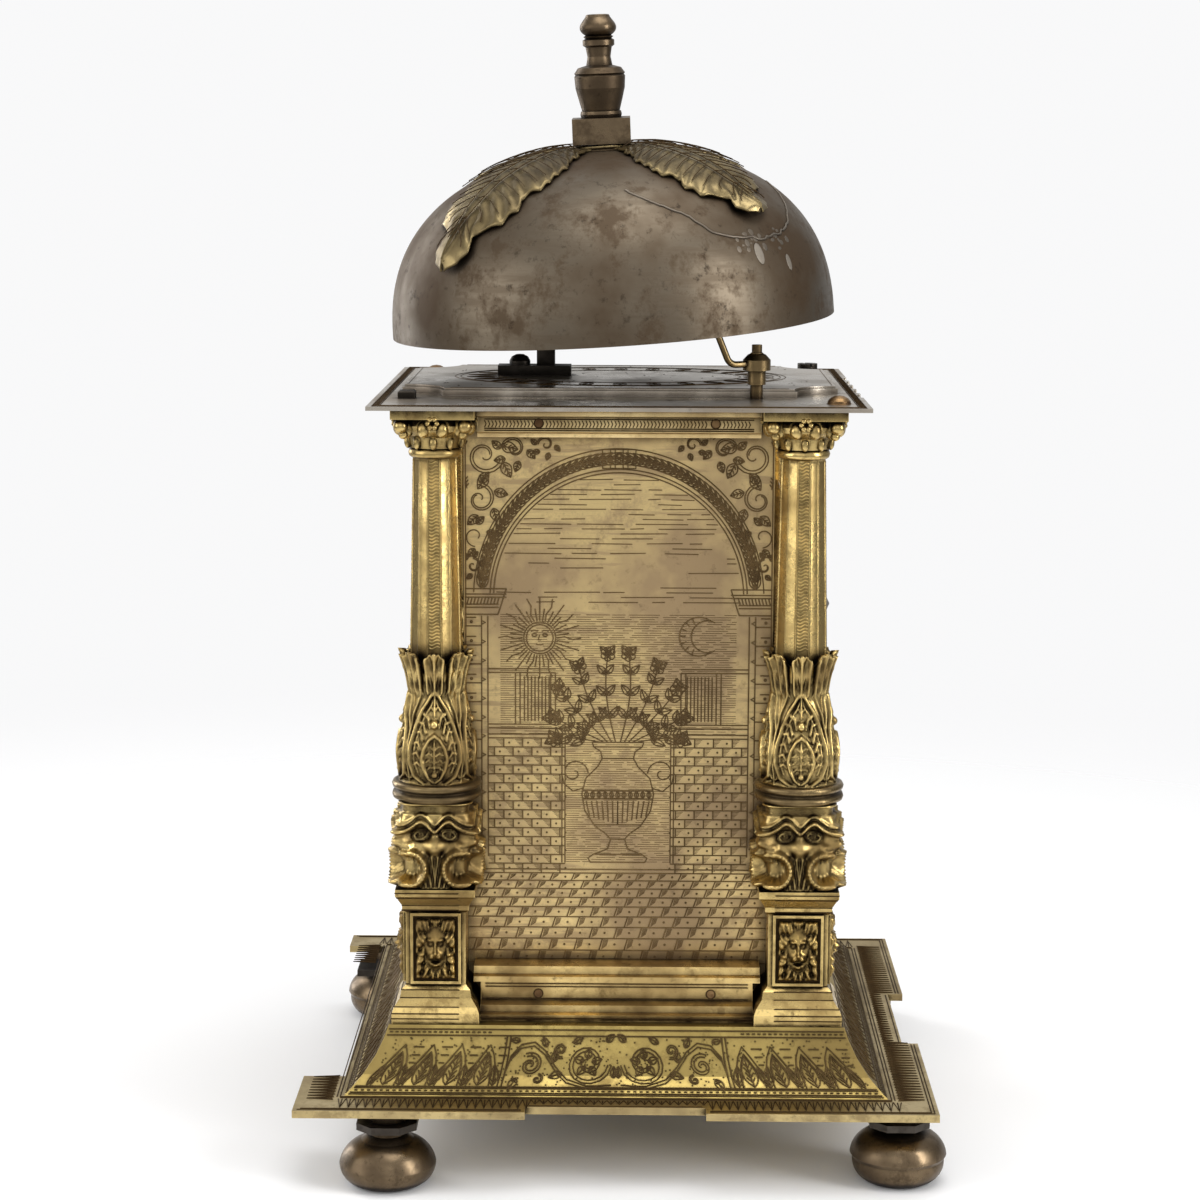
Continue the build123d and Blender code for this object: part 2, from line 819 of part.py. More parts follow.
# Chapter ring with raised edges
chapter_face = -case_half - chapter_thickness
with BuildPart() as chapter_ring:
    turn_arbor(
        hour_place,
        [
            (chapter_inner, -case_half),
            (chapter_outer, -case_half),
            (chapter_outer, chapter_face + 0.4),
            (chapter_outer - 0.8, chapter_face),
            (chapter_outer - 1.6, chapter_face),
            (chapter_outer - 2.0, chapter_face + 0.6),
            (chapter_inner + 2.0, chapter_face + 0.6),
            (chapter_inner + 1.6, chapter_face),
            (chapter_inner + 0.8, chapter_face),
            (chapter_inner, chapter_face + 0.4),
        ],
    )
chapter_ring.part.label = "chapter_ring"
export_step(chapter_ring.part, "parts/chapter_ring.step")

# Top sheet of the case, with a finely scalloped edge on the dial side
hammer_x = hammer_inset - case_half
hammer_y = -bar_out - hammer_setback
with BuildPart() as case_top_sheet:
    with BuildSketch(Plane.XY.offset(sheet_bottom)):
        Rectangle(2 * sheet_half, 2 * sheet_half)
        Rectangle(2 * sheet_opening, 2 * (bar_out + face_gap), mode=Mode.SUBTRACT)
        with Locations((0, -sheet_half)):
            with GridLocations(13, 13, 5, 1):
                Ellipse(4.6, 1.3, mode=Mode.SUBTRACT)
    extrude(amount=sheet_thickness)
    post((hammer_x, hammer_y), hammer_arbor_radius + running, sheet_bottom, sheet_top, Mode.SUBTRACT)
    for place in domed_rivets + [corner_screw]:
        post(place, fastener_radius + running, sheet_bottom, sheet_top, Mode.SUBTRACT)
case_top_sheet.part.label = "case_top_sheet"
export_step(case_top_sheet.part, "parts/case_top_sheet.step")


def top_plate_outline(inset):
    # A long plate with hollowed corners, drawn in from its edge by the given amount
    middle = (upper_plate_right - upper_plate_left) / 2
    with Locations((middle, 0)):
        Rectangle(upper_plate_left + upper_plate_right - 2 * inset, 2 * (upper_plate_half - inset))
        with GridLocations(upper_plate_left + upper_plate_right, 2 * upper_plate_half, 2, 2):
            Circle(upper_plate_notch + inset, mode=Mode.SUBTRACT)


# Top plate of the movement, which lies on the sheet and carries the bell stand
screw_place = (stand_x, stand_y + screw_shift)
with BuildPart() as movement_top_plate:
    with BuildSketch(Plane.XY.offset(sheet_top)):
        top_plate_outline(0)
    extrude(amount=upper_plate_thickness - upper_plate_bevel)
    with BuildSketch(Plane.XY.offset(upper_top - upper_plate_bevel)):
        top_plate_outline(upper_plate_bevel)
    extrude(amount=upper_plate_bevel)
    post(screw_place, screw_shank + running, sheet_top, upper_top, Mode.SUBTRACT)
movement_top_plate.part.label = "movement_top_plate"
export_step(movement_top_plate.part, "parts/movement_top_plate.step")

# Bell frame: the rim plane leans towards +Y and tips towards -X, and the finial leans a little less
bell_axis = Vector(-sin(radians(bell_tip)), sin(radians(bell_lean)), 1).normalized()
finial_axis = Vector(-sin(radians(bell_tip)), sin(radians(finial_lean)), 1).normalized()
bell_plane = tilted(Vector(0, bell_shift, upper_top + bell_lift), bell_axis)
inner_radius = bell_radius - bell_wall
inner_height = bell_height - bell_wall


def dome(radius, height):
    # Points of a dome a little fuller than an ellipse, from the rim up to the axis
    steps = 9
    points = [
        (
            radius * cos(0.5 * pi * step / steps) ** (2 / bell_roundness),
            height * sin(0.5 * pi * step / steps) ** (2 / bell_roundness),
        )
        for step in range(steps)
    ]
    return points + [(0, height)]


def dome_shell(low, high):
    # A shell between two domes, turned about the bell's axis
    with BuildSketch(upright(bell_plane)) as section:
        with BuildLine():
            Line(low[0], high[0])
            Spline(*high, tangents=[(0, 1), (-1, 0)])
            Line(high[-1], low[-1])
            Spline(*low, tangents=[(0, 1), (-1, 0)])
        make_face()
    revolve(section.sketch, axis=Axis(bell_plane.origin, bell_axis))


with BuildPart() as bell:
    dome_shell(dome(inner_radius, inner_height), dome(bell_radius, bell_height))
    with BuildSketch(bell_plane):
        Circle(bell_hole)
    extrude(amount=bell_height + 1, mode=Mode.SUBTRACT)
bell.part.label = "bell"
export_step(bell.part, "parts/bell.step")

# Washer under the leaves
leaf_gap = washer_thickness + 0.25
with BuildPart() as bell_washer:
    turn(
        bell_plane,
        [
            (bell_hole, bell_height),
            (washer_radius, bell_height),
            (washer_radius, bell_height + washer_thickness),
            (bell_hole, bell_height + washer_thickness),
        ],
    )
bell_washer.part.label = "bell_washer"
export_step(bell_washer.part, "parts/bell_washer.step")

# Four strap leaves from one sheet, bent down over the bell. Each is drawn flat along its bearing,
# from shares of its reach and of its half width.
leaf_shape = [
    (0, 0.4),
    (0.22, 0.45),
    (0.4, 0.78),
    (0.55, 0.92),
    (0.68, 1.0),
    (0.84, 0.72),
    (0.94, 0.4),
    (1, 0.06),
]
leaf_top = bell_height + leaf_gap + leaf_thickness
with BuildPart() as bell_leaves:
    under_dome = dome(bell_radius + leaf_gap, bell_height + leaf_gap)
    over_dome = dome(bell_radius + leaf_gap + leaf_thickness, leaf_top)
    dome_shell(under_dome, over_dome)
    with BuildSketch(bell_plane):
        Circle(washer_radius)
        for bearing, reach in leaf_reaches.items():
            far = [(share * reach, width * leaf_half_width) for share, width in leaf_shape]
            near = [(along, -aside) for along, aside in reversed(far)]
            with Locations(Location((0, 0, 0), (0, 0, bearing))):
                Polygon(*(far + near), align=None)
        Circle(bell_hole, mode=Mode.SUBTRACT)
    extrude(amount=leaf_top + 1, mode=Mode.INTERSECT)
bell_leaves.part.label = "bell_leaves"
export_step(bell_leaves.part, "parts/bell_leaves.step")

# Finial: square block, disc, urn, ringed neck and ball
block_seat = bell_plane.origin + bell_axis * (leaf_top + 0.2)
finial_plane = tilted(block_seat, finial_axis)
finial_outline = [
    (0, block_height),
    (5.2, block_height),
    (5.4, block_height + 0.9),
    (5.2, block_height + 1.7),
    (4.9, block_height + 1.8),
    (urn_radius - 1.0, block_height + 4.4),
    (urn_radius - 0.2, block_height + 7.6),
    (urn_radius, block_height + 10.6),
    (urn_radius - 0.3, block_height + 11.0),
    (urn_radius, block_height + 11.4),
    (urn_radius - 1.0, block_height + 12.8),
    (3.4, block_height + 13.4),
    (3.0, block_height + 15.6),
    (3.4, block_height + 18.0),
    (4.1, block_height + 18.5),
    (4.1, block_height + 19.8),
    (3.4, block_height + 20.2),
    (3.9, block_height + 20.7),
    (3.3, block_height + 21.0),
]
ball_foot = finial_outline[-1][1]
ball_top = ball_foot + 5.4
ball_side = (ball_radius, ball_foot + 2.3)
ball_shoulder = (0.68 * ball_radius, ball_foot + 4.7)
with BuildPart() as finial:
    with BuildSketch(finial_plane):
        Rectangle(2 * block_half, 2 * block_half)
    extrude(amount=block_height)
    with BuildSketch(upright(finial_plane)):
        with BuildLine():
            Polyline(*finial_outline)
            Spline(
                finial_outline[-1],
                ball_side,
                ball_shoulder,
                (0, ball_top),
                tangents=[(1, 0.6), (-1, 0)],
            )
            Line((0, ball_top), (0, block_height))
        make_face()
    revolve(axis=Axis(block_seat, finial_axis))
    with BuildSketch(finial_plane):
        Circle(stud_radius + seat_gap)
    extrude(amount=block_height - 1, mode=Mode.SUBTRACT)
finial.part.label = "finial"
export_step(finial.part, "parts/finial.step")

# Bell stand: screwed foot, square post, arm under the dome, and the stud that carries bell and finial
foot_top = upper_top + stand_foot_thickness
foot_middle = stand_y - stand_foot_front + stand_foot_length / 2
bell_seat = bell_plane.origin + bell_axis * inner_height
arm_top = bell_seat.Z - stand_arm_drop
boss_radius = stud_radius + 1.4
boss_top = bell_seat.Z - 0.5
post_x = (stand_x - stand_half, stand_x + stand_half)
post_y = (stand_y - stand_half, stand_y + stand_half)
with BuildPart() as bell_stand:
    with BuildSketch(Plane.XY.offset(upper_top)):
        with Locations((stand_x, foot_middle)):
            Rectangle(stand_foot_width, stand_foot_length)
        with Locations(screw_place):
            Circle(screw_shank + running, mode=Mode.SUBTRACT)
    extrude(amount=stand_foot_thickness)
    slab(post_x, post_y, (foot_top, arm_top))
    with BuildSketch(Plane.XY.offset(arm_top - stand_arm_thickness)):
        with BuildLine():
            Polyline(
                (post_x[1], post_y[0]),
                (post_x[1], post_y[1]),
                (post_x[0], post_y[1]),
                (bell_seat.X - boss_radius, bell_seat.Y),
                (bell_seat.X, bell_seat.Y - boss_radius),
                close=True,
            )
        make_face()
        with Locations((bell_seat.X, bell_seat.Y)):
            Circle(boss_radius)
    extrude(amount=stand_arm_thickness)
    post((bell_seat.X, bell_seat.Y), boss_radius, arm_top, boss_top)
    with BuildSketch(tilted(bell_seat - finial_axis * 2, finial_axis)):
        Circle(stud_radius)
    extrude(amount=block_seat.Z - bell_seat.Z + 2 + block_height / 2)
bell_stand.part.label = "bell_stand"
export_step(bell_stand.part, "parts/bell_stand.step")

# Slotted screws: the domed one in the stand's foot and the one at the corner of the sheet
with BuildPart() as slotted_screws:
    post(screw_place, screw_shank, sheet_top, foot_top)
    domed_head = [
        (0, 0),
        (screw_head_radius, 0),
        (screw_head_radius, 1.1),
        (0.78 * screw_head_radius, 2.2),
        (0.36 * screw_head_radius, 2.8),
        (0, 2.9),
    ]
    turn(Plane(origin=(screw_place[0], screw_place[1], foot_top)), domed_head)
    with BuildSketch(Plane.XY.offset(foot_top + 1.8)):
        with Locations(Location((screw_place[0], screw_place[1], 0), (0, 0, 80))):
            Rectangle(2 * screw_head_radius + 1, slot_width)
    extrude(amount=2, mode=Mode.SUBTRACT)
    post(corner_screw, fastener_radius, sheet_bottom, sheet_top)
    post(corner_screw, screw_head_radius, sheet_top, sheet_top + 2.0)
    with BuildSketch(Plane.XY.offset(sheet_top + 1.2)):
        with Locations(Location((corner_screw[0], corner_screw[1], 0), (0, 0, 20))):
            Rectangle(2 * screw_head_radius + 1, slot_width)
    extrude(amount=2, mode=Mode.SUBTRACT)
slotted_screws.part.label = "slotted_screws"
export_step(slotted_screws.part, "parts/slotted_screws.step")

# Latch: a small block at the back left corner of the top
with BuildPart() as corner_latch:
    with BuildSketch(Plane.XY.offset(sheet_top)):
        with Locations(latch_place):
            Rectangle(latch_side, latch_side)
    extrude(amount=2.0)
    chamfer(corner_latch.faces().sort_by(Axis.Z)[-1].edges(), 0.4)
corner_latch.part.label = "corner_latch"
export_step(corner_latch.part, "parts/corner_latch.step")

# Hammer: collar, cranked wire and head, which stands just inside the bell
collar_foot = sheet_top + hammer_lift
collar_top = collar_foot + 4.2
wire_height = collar_foot + 1.6
head_height = collar_foot + hammer_head_rise
head_reach = inner_radius - hammer_head_inset
head_x = head_reach * cos(radians(hammer_head_bearing))
head_y = bell_shift + head_reach * sin(radians(hammer_head_bearing))
wire_start = Vector(hammer_x, hammer_y, wire_height)
wire_way = Vector(head_x - hammer_x, head_y - hammer_y, 0).normalized()
with BuildPart() as hammer:
    turn(
        axis_plane((hammer_x, hammer_y)),
        [
            (hammer_arbor_radius + running, collar_foot - 3.6),
            (hammer_arbor_radius + 0.7, collar_foot - 3.6),
            (hammer_arbor_radius + 0.7, collar_foot),
            (hammer_collar_radius, collar_foot),
            (hammer_collar_radius, collar_foot + 2.6),
            (hammer_collar_radius - 1.2, collar_foot + 3.9),
            (hammer_arbor_radius + running, collar_top),
        ],
    )
    with BuildLine() as wire:
        FilletPolyline(
            wire_start + wire_way * 2.6,
            wire_start + wire_way * 8.0,
            wire_start + wire_way * 14.0 + Vector(0, 0, head_height - wire_height),
            Vector(head_x, head_y, head_height),
            radius=[3.0, 3.0],
        )
    with BuildSketch(Plane(wire.line @ 0, z_dir=wire.line % 0)):
        Circle(hammer_wire_radius)
    sweep(path=wire.line)
    with BuildSketch(Plane(Vector(head_x, head_y, head_height), z_dir=Vector(-wire_way.Y, wire_way.X, 0))):
        Circle(hammer_head_radius)
    extrude(amount=hammer_head_half, both=True)
hammer.part.label = "hammer"
export_step(hammer.part, "parts/hammer.step")

# Hammer arbor with its thin foot pivot, top pin and the pallet that the lifter pushes
arbor_foot = plate_top + arbor_foot_rise
pallet_low = plate_top + pallet_rise
with BuildPart() as hammer_arbor:
    post((hammer_x, hammer_y), hammer_arbor_radius, arbor_foot, collar_top + 0.2)
    post((hammer_x, hammer_y), hammer_arbor_radius - 0.3, collar_top + 0.2, collar_top + 2.2)
    post((hammer_x, hammer_y), pivot_radius, arbor_foot - 2, arbor_foot)
    slab(
        (hammer_x - pallet_half, hammer_x + pallet_half),
        (hammer_y, hammer_y + pallet_length),
        (pallet_low, pallet_low + pallet_height),
    )
hammer_arbor.part.label = "hammer_arbor"
export_step(hammer_arbor.part, "parts/hammer_arbor.step")

# Flat hammer spring on the front left pillar. It meets the pallet at the end of the lift.
spring_rise = (pallet_low + 4, pallet_low + 7)
pillar_face = -pillar_x - pillar_side / 2
spring_face = hammer_x + 3.75
with BuildPart() as hammer_spring:
    slab((spring_face, pillar_face), (-pillar_y - 1.8, -pillar_y + 1.8), spring_rise)
    slab((spring_face, spring_face + 0.6), (hammer_y - 1, -pillar_y), spring_rise)
hammer_spring.part.label = "hammer_spring"
export_step(hammer_spring.part, "parts/hammer_spring.step")

# Movement floor plate and its four pillars, which stand on the base deck
pillar_places = [(sx * pillar_x, sy * pillar_y) for sx in (-1, 1) for sy in (-1, 1)]
with BuildPart() as bottom_plate:
    with BuildSketch(Plane.XY.offset(movement_floor)):
        Rectangle(2 * (bar_foot_half + 2), 2 * (bar_out + 2))
        with Locations(pillar_places):
            Rectangle(pillar_side + 2 * running, pillar_side + 2 * running, mode=Mode.SUBTRACT)
        Rectangle(24, 40, mode=Mode.SUBTRACT)
    extrude(amount=plate_thickness)
bottom_plate.part.label = "bottom_plate"
export_step(bottom_plate.part, "parts/bottom_plate.step")

with BuildPart() as movement_pillars:
    with BuildSketch(Plane.XY.offset(deck_top)):
        with Locations(pillar_places):
            Rectangle(pillar_side, pillar_side)
    extrude(amount=sheet_top - deck_top)
    with BuildSketch(Plane.XY.offset(movement_floor - 3)):
        with Locations(pillar_places):
            Rectangle(collar_side, collar_side)
    extrude(amount=3)
movement_pillars.part.label = "movement_pillars"
export_step(movement_pillars.part, "parts/movement_pillars.step")

# Arbor places of the two trains
great_reach = pitch_radius(great_teeth + pinion_leaves, great_module)
second_place = above(going_great, 0, great_reach)
third_place = above(second_place, 0, pitch_radius(second_teeth + pinion_leaves, second_module))
crown_place = above(third_place, 0, pitch_radius(third_teeth + pinion_leaves, third_module))
pin_place = above(strike_great, strike_arbor_x, great_reach)
locking_place = above(
    pin_place,
    strike_arbor_x,
    pitch_radius(pin_wheel_teeth + pinion_leaves, strike_module),
)
fly_place = above(locking_place, strike_arbor_x, pitch_radius(locking_teeth + pinion_leaves, strike_module))
count_place = above(strike_great, 0, pitch_radius(count_report_teeth + count_teeth, count_module))
going_barrel_place = (-barrel_x, going_great[1])
strike_barrel_place = (barrel_x, strike_great[1])
lifter_place = (-side_arbor_x, plate_top + side_arbor_rise)
release_place = (side_arbor_x, plate_top + side_arbor_rise)

# The idler stands where its two centre distances meet, on the barrel's side of the line between
# the winding arbor and the hour arbor
report_reach = pitch_radius(report_teeth + idler_teeth, motion_module)
hour_reach = pitch_radius(hour_teeth + idler_teeth, motion_module)
line_x = hour_place[0] - going_great[0]
line_z = hour_place[1] - going_great[1]
line_length = hypot(line_x, line_z)
idler_along = (report_reach**2 - hour_reach**2 + line_length**2) / (2 * line_length)
idler_aside = sqrt(report_reach**2 - idler_along**2)
idler_place = (
    going_great[0] + (idler_along * line_x - idler_aside * line_z) / line_length,
    going_great[1] + (idler_along * line_z + idler_aside * line_x) / line_length,
)

# Escapement places
crown_back = thin_wheel_low + thin_wheel + crown_gap
crown_lip = crown_back + 4.0
crown_tip = crown_lip + crown_tooth_height
verge_y = -crown_tip - verge_gap
balance_radius = panel_inner + verge_y - balance_gap
balance_low = dial_height + pitch_radius(hour_teeth, motion_module) + balance_lift
balance_top = balance_low + balance_thickness
lower_cock_top = crown_place[1] - crown_radius - 0.9
upper_cock_foot = balance_top + 6.0
cock_thickness = 2.0


def bar(y_low, y_high):
    # An upright bar with a broad foot on the floor plate
    slab((-bar_foot_half, bar_foot_half), (y_low, y_high), (plate_top, plate_top + bar_foot_height))
    slab((-bar_stem_half, bar_stem_half), (y_low, y_high), (plate_top, sheet_top))


def pivot_holes(places, radius, y_low, y_high):
    for place in places:
        rod(place, radius + running, y_low, y_high, Mode.SUBTRACT)


# The front bar has a window for the balance and an ear for the hammer arbor's foot
with BuildPart() as front_bar:
    bar(-bar_out, -bar_in)
    pivot_holes(
        [going_barrel_place, second_place, third_place, lifter_place],
        pivot_radius,
        -bar_out,
        -bar_in,
    )
    pivot_holes([idler_place, hour_place, release_place], arbor_radius, -bar_out, -bar_in)
    pivot_holes([going_great], winding_radius, -bar_out, -bar_in)
    slab(
        (-window_half, window_half),
        (-bar_out, -bar_in),
        (balance_low - 3, balance_top + 3),
        Mode.SUBTRACT,
    )
    slab((hammer_x - 2.2, -bar_foot_half), (hammer_y - 2.2, -bar_in), (arbor_foot - 2.4, arbor_foot - 0.3))
    post((hammer_x, hammer_y), pivot_radius + running, arbor_foot - 2.4, arbor_foot, Mode.SUBTRACT)
front_bar.part.label = "front_bar"
export_step(front_bar.part, "parts/front_bar.step")

with BuildPart() as middle_bar:
    bar(-middle_half, middle_half)
    going_pivots = [going_barrel_place, going_great, second_place, third_place, crown_place]
    strike_pivots = [strike_barrel_place, strike_great, pin_place, locking_place, fly_place]
    pivot_holes(going_pivots, pivot_radius, -middle_half, running - pivot_tip)
    pivot_holes(strike_pivots, pivot_radius, pivot_tip - running, middle_half)
    pivot_holes([lifter_place, release_place], arbor_radius, -middle_half, middle_half)
middle_bar.part.label = "middle_bar"
export_step(middle_bar.part, "parts/middle_bar.step")

with BuildPart() as back_bar:
    bar(bar_in, bar_out)
    back_pivots = [strike_barrel_place, pin_place, locking_place, fly_place, lifter_place]
    pivot_holes(back_pivots, pivot_radius, bar_in, bar_out)
    pivot_holes([count_place, release_place], arbor_radius, bar_in, bar_out)
    pivot_holes([strike_great], winding_radius, bar_in, bar_out)
back_bar.part.label = "back_bar"
export_step(back_bar.part, "parts/back_bar.step")

# Spring barrels: drums with rims at both ends
barrels = (("going_barrel", going_barrel_place, -1), ("strike_barrel", strike_barrel_place, 1))
for name, place, side in barrels:
    with BuildPart() as barrel:
        front, back = sorted((side * barrel_front, side * barrel_back))
        rod(place, barrel_radius, front, back)
        rod(place, barrel_radius + barrel_rim, front, front + 0.8)
        rod(place, barrel_radius + barrel_rim, back - 0.8, back)
        ends = sorted((side * arbor_start, side * arbor_end))
        tips = sorted((side * pivot_tip, side * bar_out))
        arbor(place, *ends, *tips, drum_arbor_radius)
    barrel.part.label = name
    export_step(barrel.part, f"parts/{name}.step")


def fusee_radius(y):
    # The cone shrinks evenly away from the great wheel
    return fusee_large - (fusee_large - fusee_small) * (y - barrel_front) / (barrel_back - barrel_front)


def fusee_cone(place, side):
    # A grooved cone whose ridges follow the taper
    step = (barrel_back - barrel_front) / fusee_turns
    outline = [(0, side * barrel_front)]
    for turn_number in range(fusee_turns):
        y = barrel_front + turn_number * step
        outline.append((fusee_radius(y), side * y))
        outline.append((fusee_radius(y + step / 2) - 0.6, side * (y + step / 2)))
    outline.append((fusee_small, side * barrel_back))
    outline.append((0, side * barrel_back))
    turn_arbor(place, outline)


# Going train. Each wheel's tooth angle follows from its driver's.
motion_low = -bar_out - wheel_gap - wheel_thickness
second_pinion_phase = next_phase(going_great, great_teeth, 0, second_place, pinion_leaves)
third_pinion_phase = next_phase(second_place, second_teeth, 0, third_place, pinion_leaves)
crown_pinion_phase = next_phase(third_place, third_teeth, 0, crown_place, pinion_leaves)
idler_phase = next_phase(going_great, report_teeth, 0, idler_place, idler_teeth)
hour_phase = next_phase(idler_place, idler_teeth, idler_phase, hour_place, hour_teeth)
front_inner_pinion = -inner_pinion_low - pinion_length
front_outer_pinion = -outer_pinion_low - pinion_length
front_fast_pinion = -fast_pinion_low - pinion_length
with BuildPart() as going_fusee:
    fusee_cone(going_great, -1)
    rod(going_great, 4.5, -barrel_front, -great_low)
    toothed_wheel(going_great, great_teeth, great_module, -great_low - wheel_thickness, wheel_thickness, 0)
    arbor(going_great, -arbor_end, -arbor_start, -arbor_start, -pivot_tip, drum_arbor_radius)
    rod(going_great, winding_radius, -case_half, -arbor_end)
    toothed_wheel(going_great, report_teeth, motion_module, motion_low, wheel_thickness, 0, False)
    with BuildSketch(facing(-case_half)):
        with Locations(going_great):
            Rectangle(winding_square, winding_square)
    extrude(amount=winding_reach)
going_fusee.part.label = "going_fusee"
export_step(going_fusee.part, "parts/going_fusee.step")

with BuildPart() as second_wheel:
    arbor(second_place, -arbor_end, -arbor_start, -bar_out, -pivot_tip, arbor_radius)
    toothed_wheel(
        second_place,
        pinion_leaves,
        great_module,
        front_inner_pinion,
        pinion_length,
        second_pinion_phase,
        False,
    )
    toothed_wheel(
        second_place,
        second_teeth,
        second_module,
        -second_low - wheel_thickness,
        wheel_thickness,
        0,
    )
second_wheel.part.label = "second_wheel"
export_step(second_wheel.part, "parts/second_wheel.step")

with BuildPart() as third_wheel:
    arbor(third_place, -arbor_end, -arbor_start, -bar_out, -pivot_tip, arbor_radius)
    toothed_wheel(
        third_place,
        pinion_leaves,
        second_module,
        front_outer_pinion,
        pinion_length,
        third_pinion_phase,
        False,
    )
    toothed_wheel(third_place, third_teeth, third_module, -thin_wheel_low - thin_wheel, thin_wheel, 0)
third_wheel.part.label = "third_wheel"
export_step(third_wheel.part, "parts/third_wheel.step")

# Crown wheel: a shallow cup whose saw teeth point at the verge
with BuildPart() as crown_wheel:
    arbor(crown_place, -crown_back, -arbor_start, -arbor_start, -pivot_tip, arbor_radius)
    toothed_wheel(
        crown_place,
        pinion_leaves,
        third_module,
        front_fast_pinion,
        pinion_length,
        crown_pinion_phase,
        False,
    )
    rod(crown_place, crown_radius, -crown_lip, -crown_back)
    rod(crown_place, crown_radius - 1.4, -crown_lip, -crown_back - 1, Mode.SUBTRACT)
    for tooth in range(crown_teeth):
        turned = 2 * pi * tooth / crown_teeth
        outward = Vector(cos(turned), 0, sin(turned))
        tangent = Vector(-sin(turned), 0, cos(turned))
        root = Vector(crown_place[0], 0.4 - crown_lip, crown_place[1]) + outward * (crown_radius - 1.3)
        with BuildSketch(Plane(origin=root, x_dir=tangent, z_dir=outward)):
            with BuildLine():
                Polyline(
                    (-1.3, 0),
                    (1.3, 0),
                    (1.1, crown_tooth_height + 0.4),
                    (0.8, crown_tooth_height + 0.4),
                    close=True,
                )
            make_face()
        extrude(amount=1.2)
crown_wheel.part.label = "crown_wheel"
export_step(crown_wheel.part, "parts/crown_wheel.step")

# Verge with two flags, and the balance above it
verge_plane = Plane(origin=(0, verge_y, 0))
with BuildPart() as verge_and_balance:
    post((0, verge_y), verge_radius, lower_cock_top + seat_gap, upper_cock_foot - seat_gap)
    post((0, verge_y), verge_pivot, lower_cock_top - 1.8, upper_cock_foot + 1.8)
    for height, bearing in ((crown_place[1] - 10.4, 40), (crown_place[1] + 10.4, 140)):
        with BuildSketch(verge_plane.offset(height - 1.2)):
            with Locations(Location((0, 0, 0), (0, 0, bearing))):
                with Locations((verge_flag / 2, 0)):
                    Rectangle(verge_flag, 0.8)
        extrude(amount=2.4)
    with BuildSketch(verge_plane.offset(balance_low)):
        Circle(balance_radius)
        Circle(balance_radius - 1.8, mode=Mode.SUBTRACT)
        Rectangle(2 * balance_radius - 2, 2.0)
        Circle(2.6)
    extrude(amount=balance_thickness)
verge_and_balance.part.label = "verge_and_balance"
export_step(verge_and_balance.part, "parts/verge_and_balance.step")

# Cocks of the verge on the front bar, and the potence that carries the crown arbor
cock_half = 3.5
cock_tip = verge_y + 2.0
potence_front = crown_back - 1.0
potence_back = potence_front - 1.5
with BuildPart() as escapement_cocks:
    for cock_foot in (lower_cock_top - cock_thickness, upper_cock_foot):
        slab((-cock_half, cock_half), (-bar_in, cock_tip), (cock_foot, cock_foot + cock_thickness))
    post((0, verge_y), verge_pivot + running, 0, sheet_top, Mode.SUBTRACT)
    slab((-4, 4), (-potence_front, -potence_back), (crown_place[1] - 4, crown_place[1] + 17))
    slab((-4, 4), (-potence_front, -middle_half), (crown_place[1] + 11, crown_place[1] + 17))
    rod(crown_place, arbor_radius + running, -potence_front, -potence_back, Mode.SUBTRACT)
escapement_cocks.part.label = "escapement_cocks"
export_step(escapement_cocks.part, "parts/escapement_cocks.step")

# Motion work in front of the front bar, and the hour hand with its setting knob
with BuildPart() as idler_wheel:
    rod(idler_place, arbor_radius, motion_low, -bar_in)
    toothed_wheel(idler_place, idler_teeth, motion_module, motion_low, wheel_thickness, idler_phase)
idler_wheel.part.label = "idler_wheel"
export_step(idler_wheel.part, "parts/idler_wheel.step")

hand_back = chapter_face - 2.0
hand_front = hand_back - hand_thickness
with BuildPart() as hour_wheel:
    rod(hour_place, arbor_radius, motion_low, -bar_in)
    toothed_wheel(hour_place, hour_teeth, motion_module, motion_low, wheel_thickness, hour_phase)
    rod(hour_place, hour_pipe_radius, hand_back, motion_low)
    with BuildSketch(facing(hand_back)):
        with Locations(hour_place):
            Rectangle(hand_square, hand_square)
    extrude(amount=hand_thickness)
hour_wheel.part.label = "hour_wheel"
export_step(hour_wheel.part, "parts/hour_wheel.step")

hand_shape = [
    (0, 1.3),
    (0.3, 0.9),
    (0.52, 1.1),
    (0.62, 2.8),
    (0.72, 3.4),
    (0.82, 2.4),
    (0.9, 0.9),
    (1, 0.2),
]
with BuildPart() as hour_hand:
    with BuildSketch(facing(hand_back)):
        right = [(width, share * hand_length) for share, width in hand_shape]
        left = [(-x, z) for x, z in reversed(right)]
        with Locations(hour_place):
            Polygon(*(right + left), align=None)
            Circle(4.0)
            Rectangle(hand_square + 2 * running, hand_square + 2 * running, mode=Mode.SUBTRACT)
    extrude(amount=hand_thickness)
hour_hand.part.label = "hour_hand"
export_step(hour_hand.part, "parts/hour_hand.step")

with BuildPart() as hand_knob:
    turn_arbor(
        hour_place,
        [
            (0, hand_front),
            (3.2, hand_front),
            (3.2, hand_front - 1.2),
            (1.8, hand_front - 2.0),
            (1.4, hand_front - 4.2),
            (2.1, hand_front - 5.6),
            (1.3, hand_front - 6.8),
            (1.1, hand_front - 8.6),
            (1.6, hand_front - 9.2),
            (1.6, hand_front - knob_length + 0.7),
            (0, hand_front - knob_length),
        ],
    )
hand_knob.part.label = "hand_knob"
export_step(hand_knob.part, "parts/hand_knob.step")

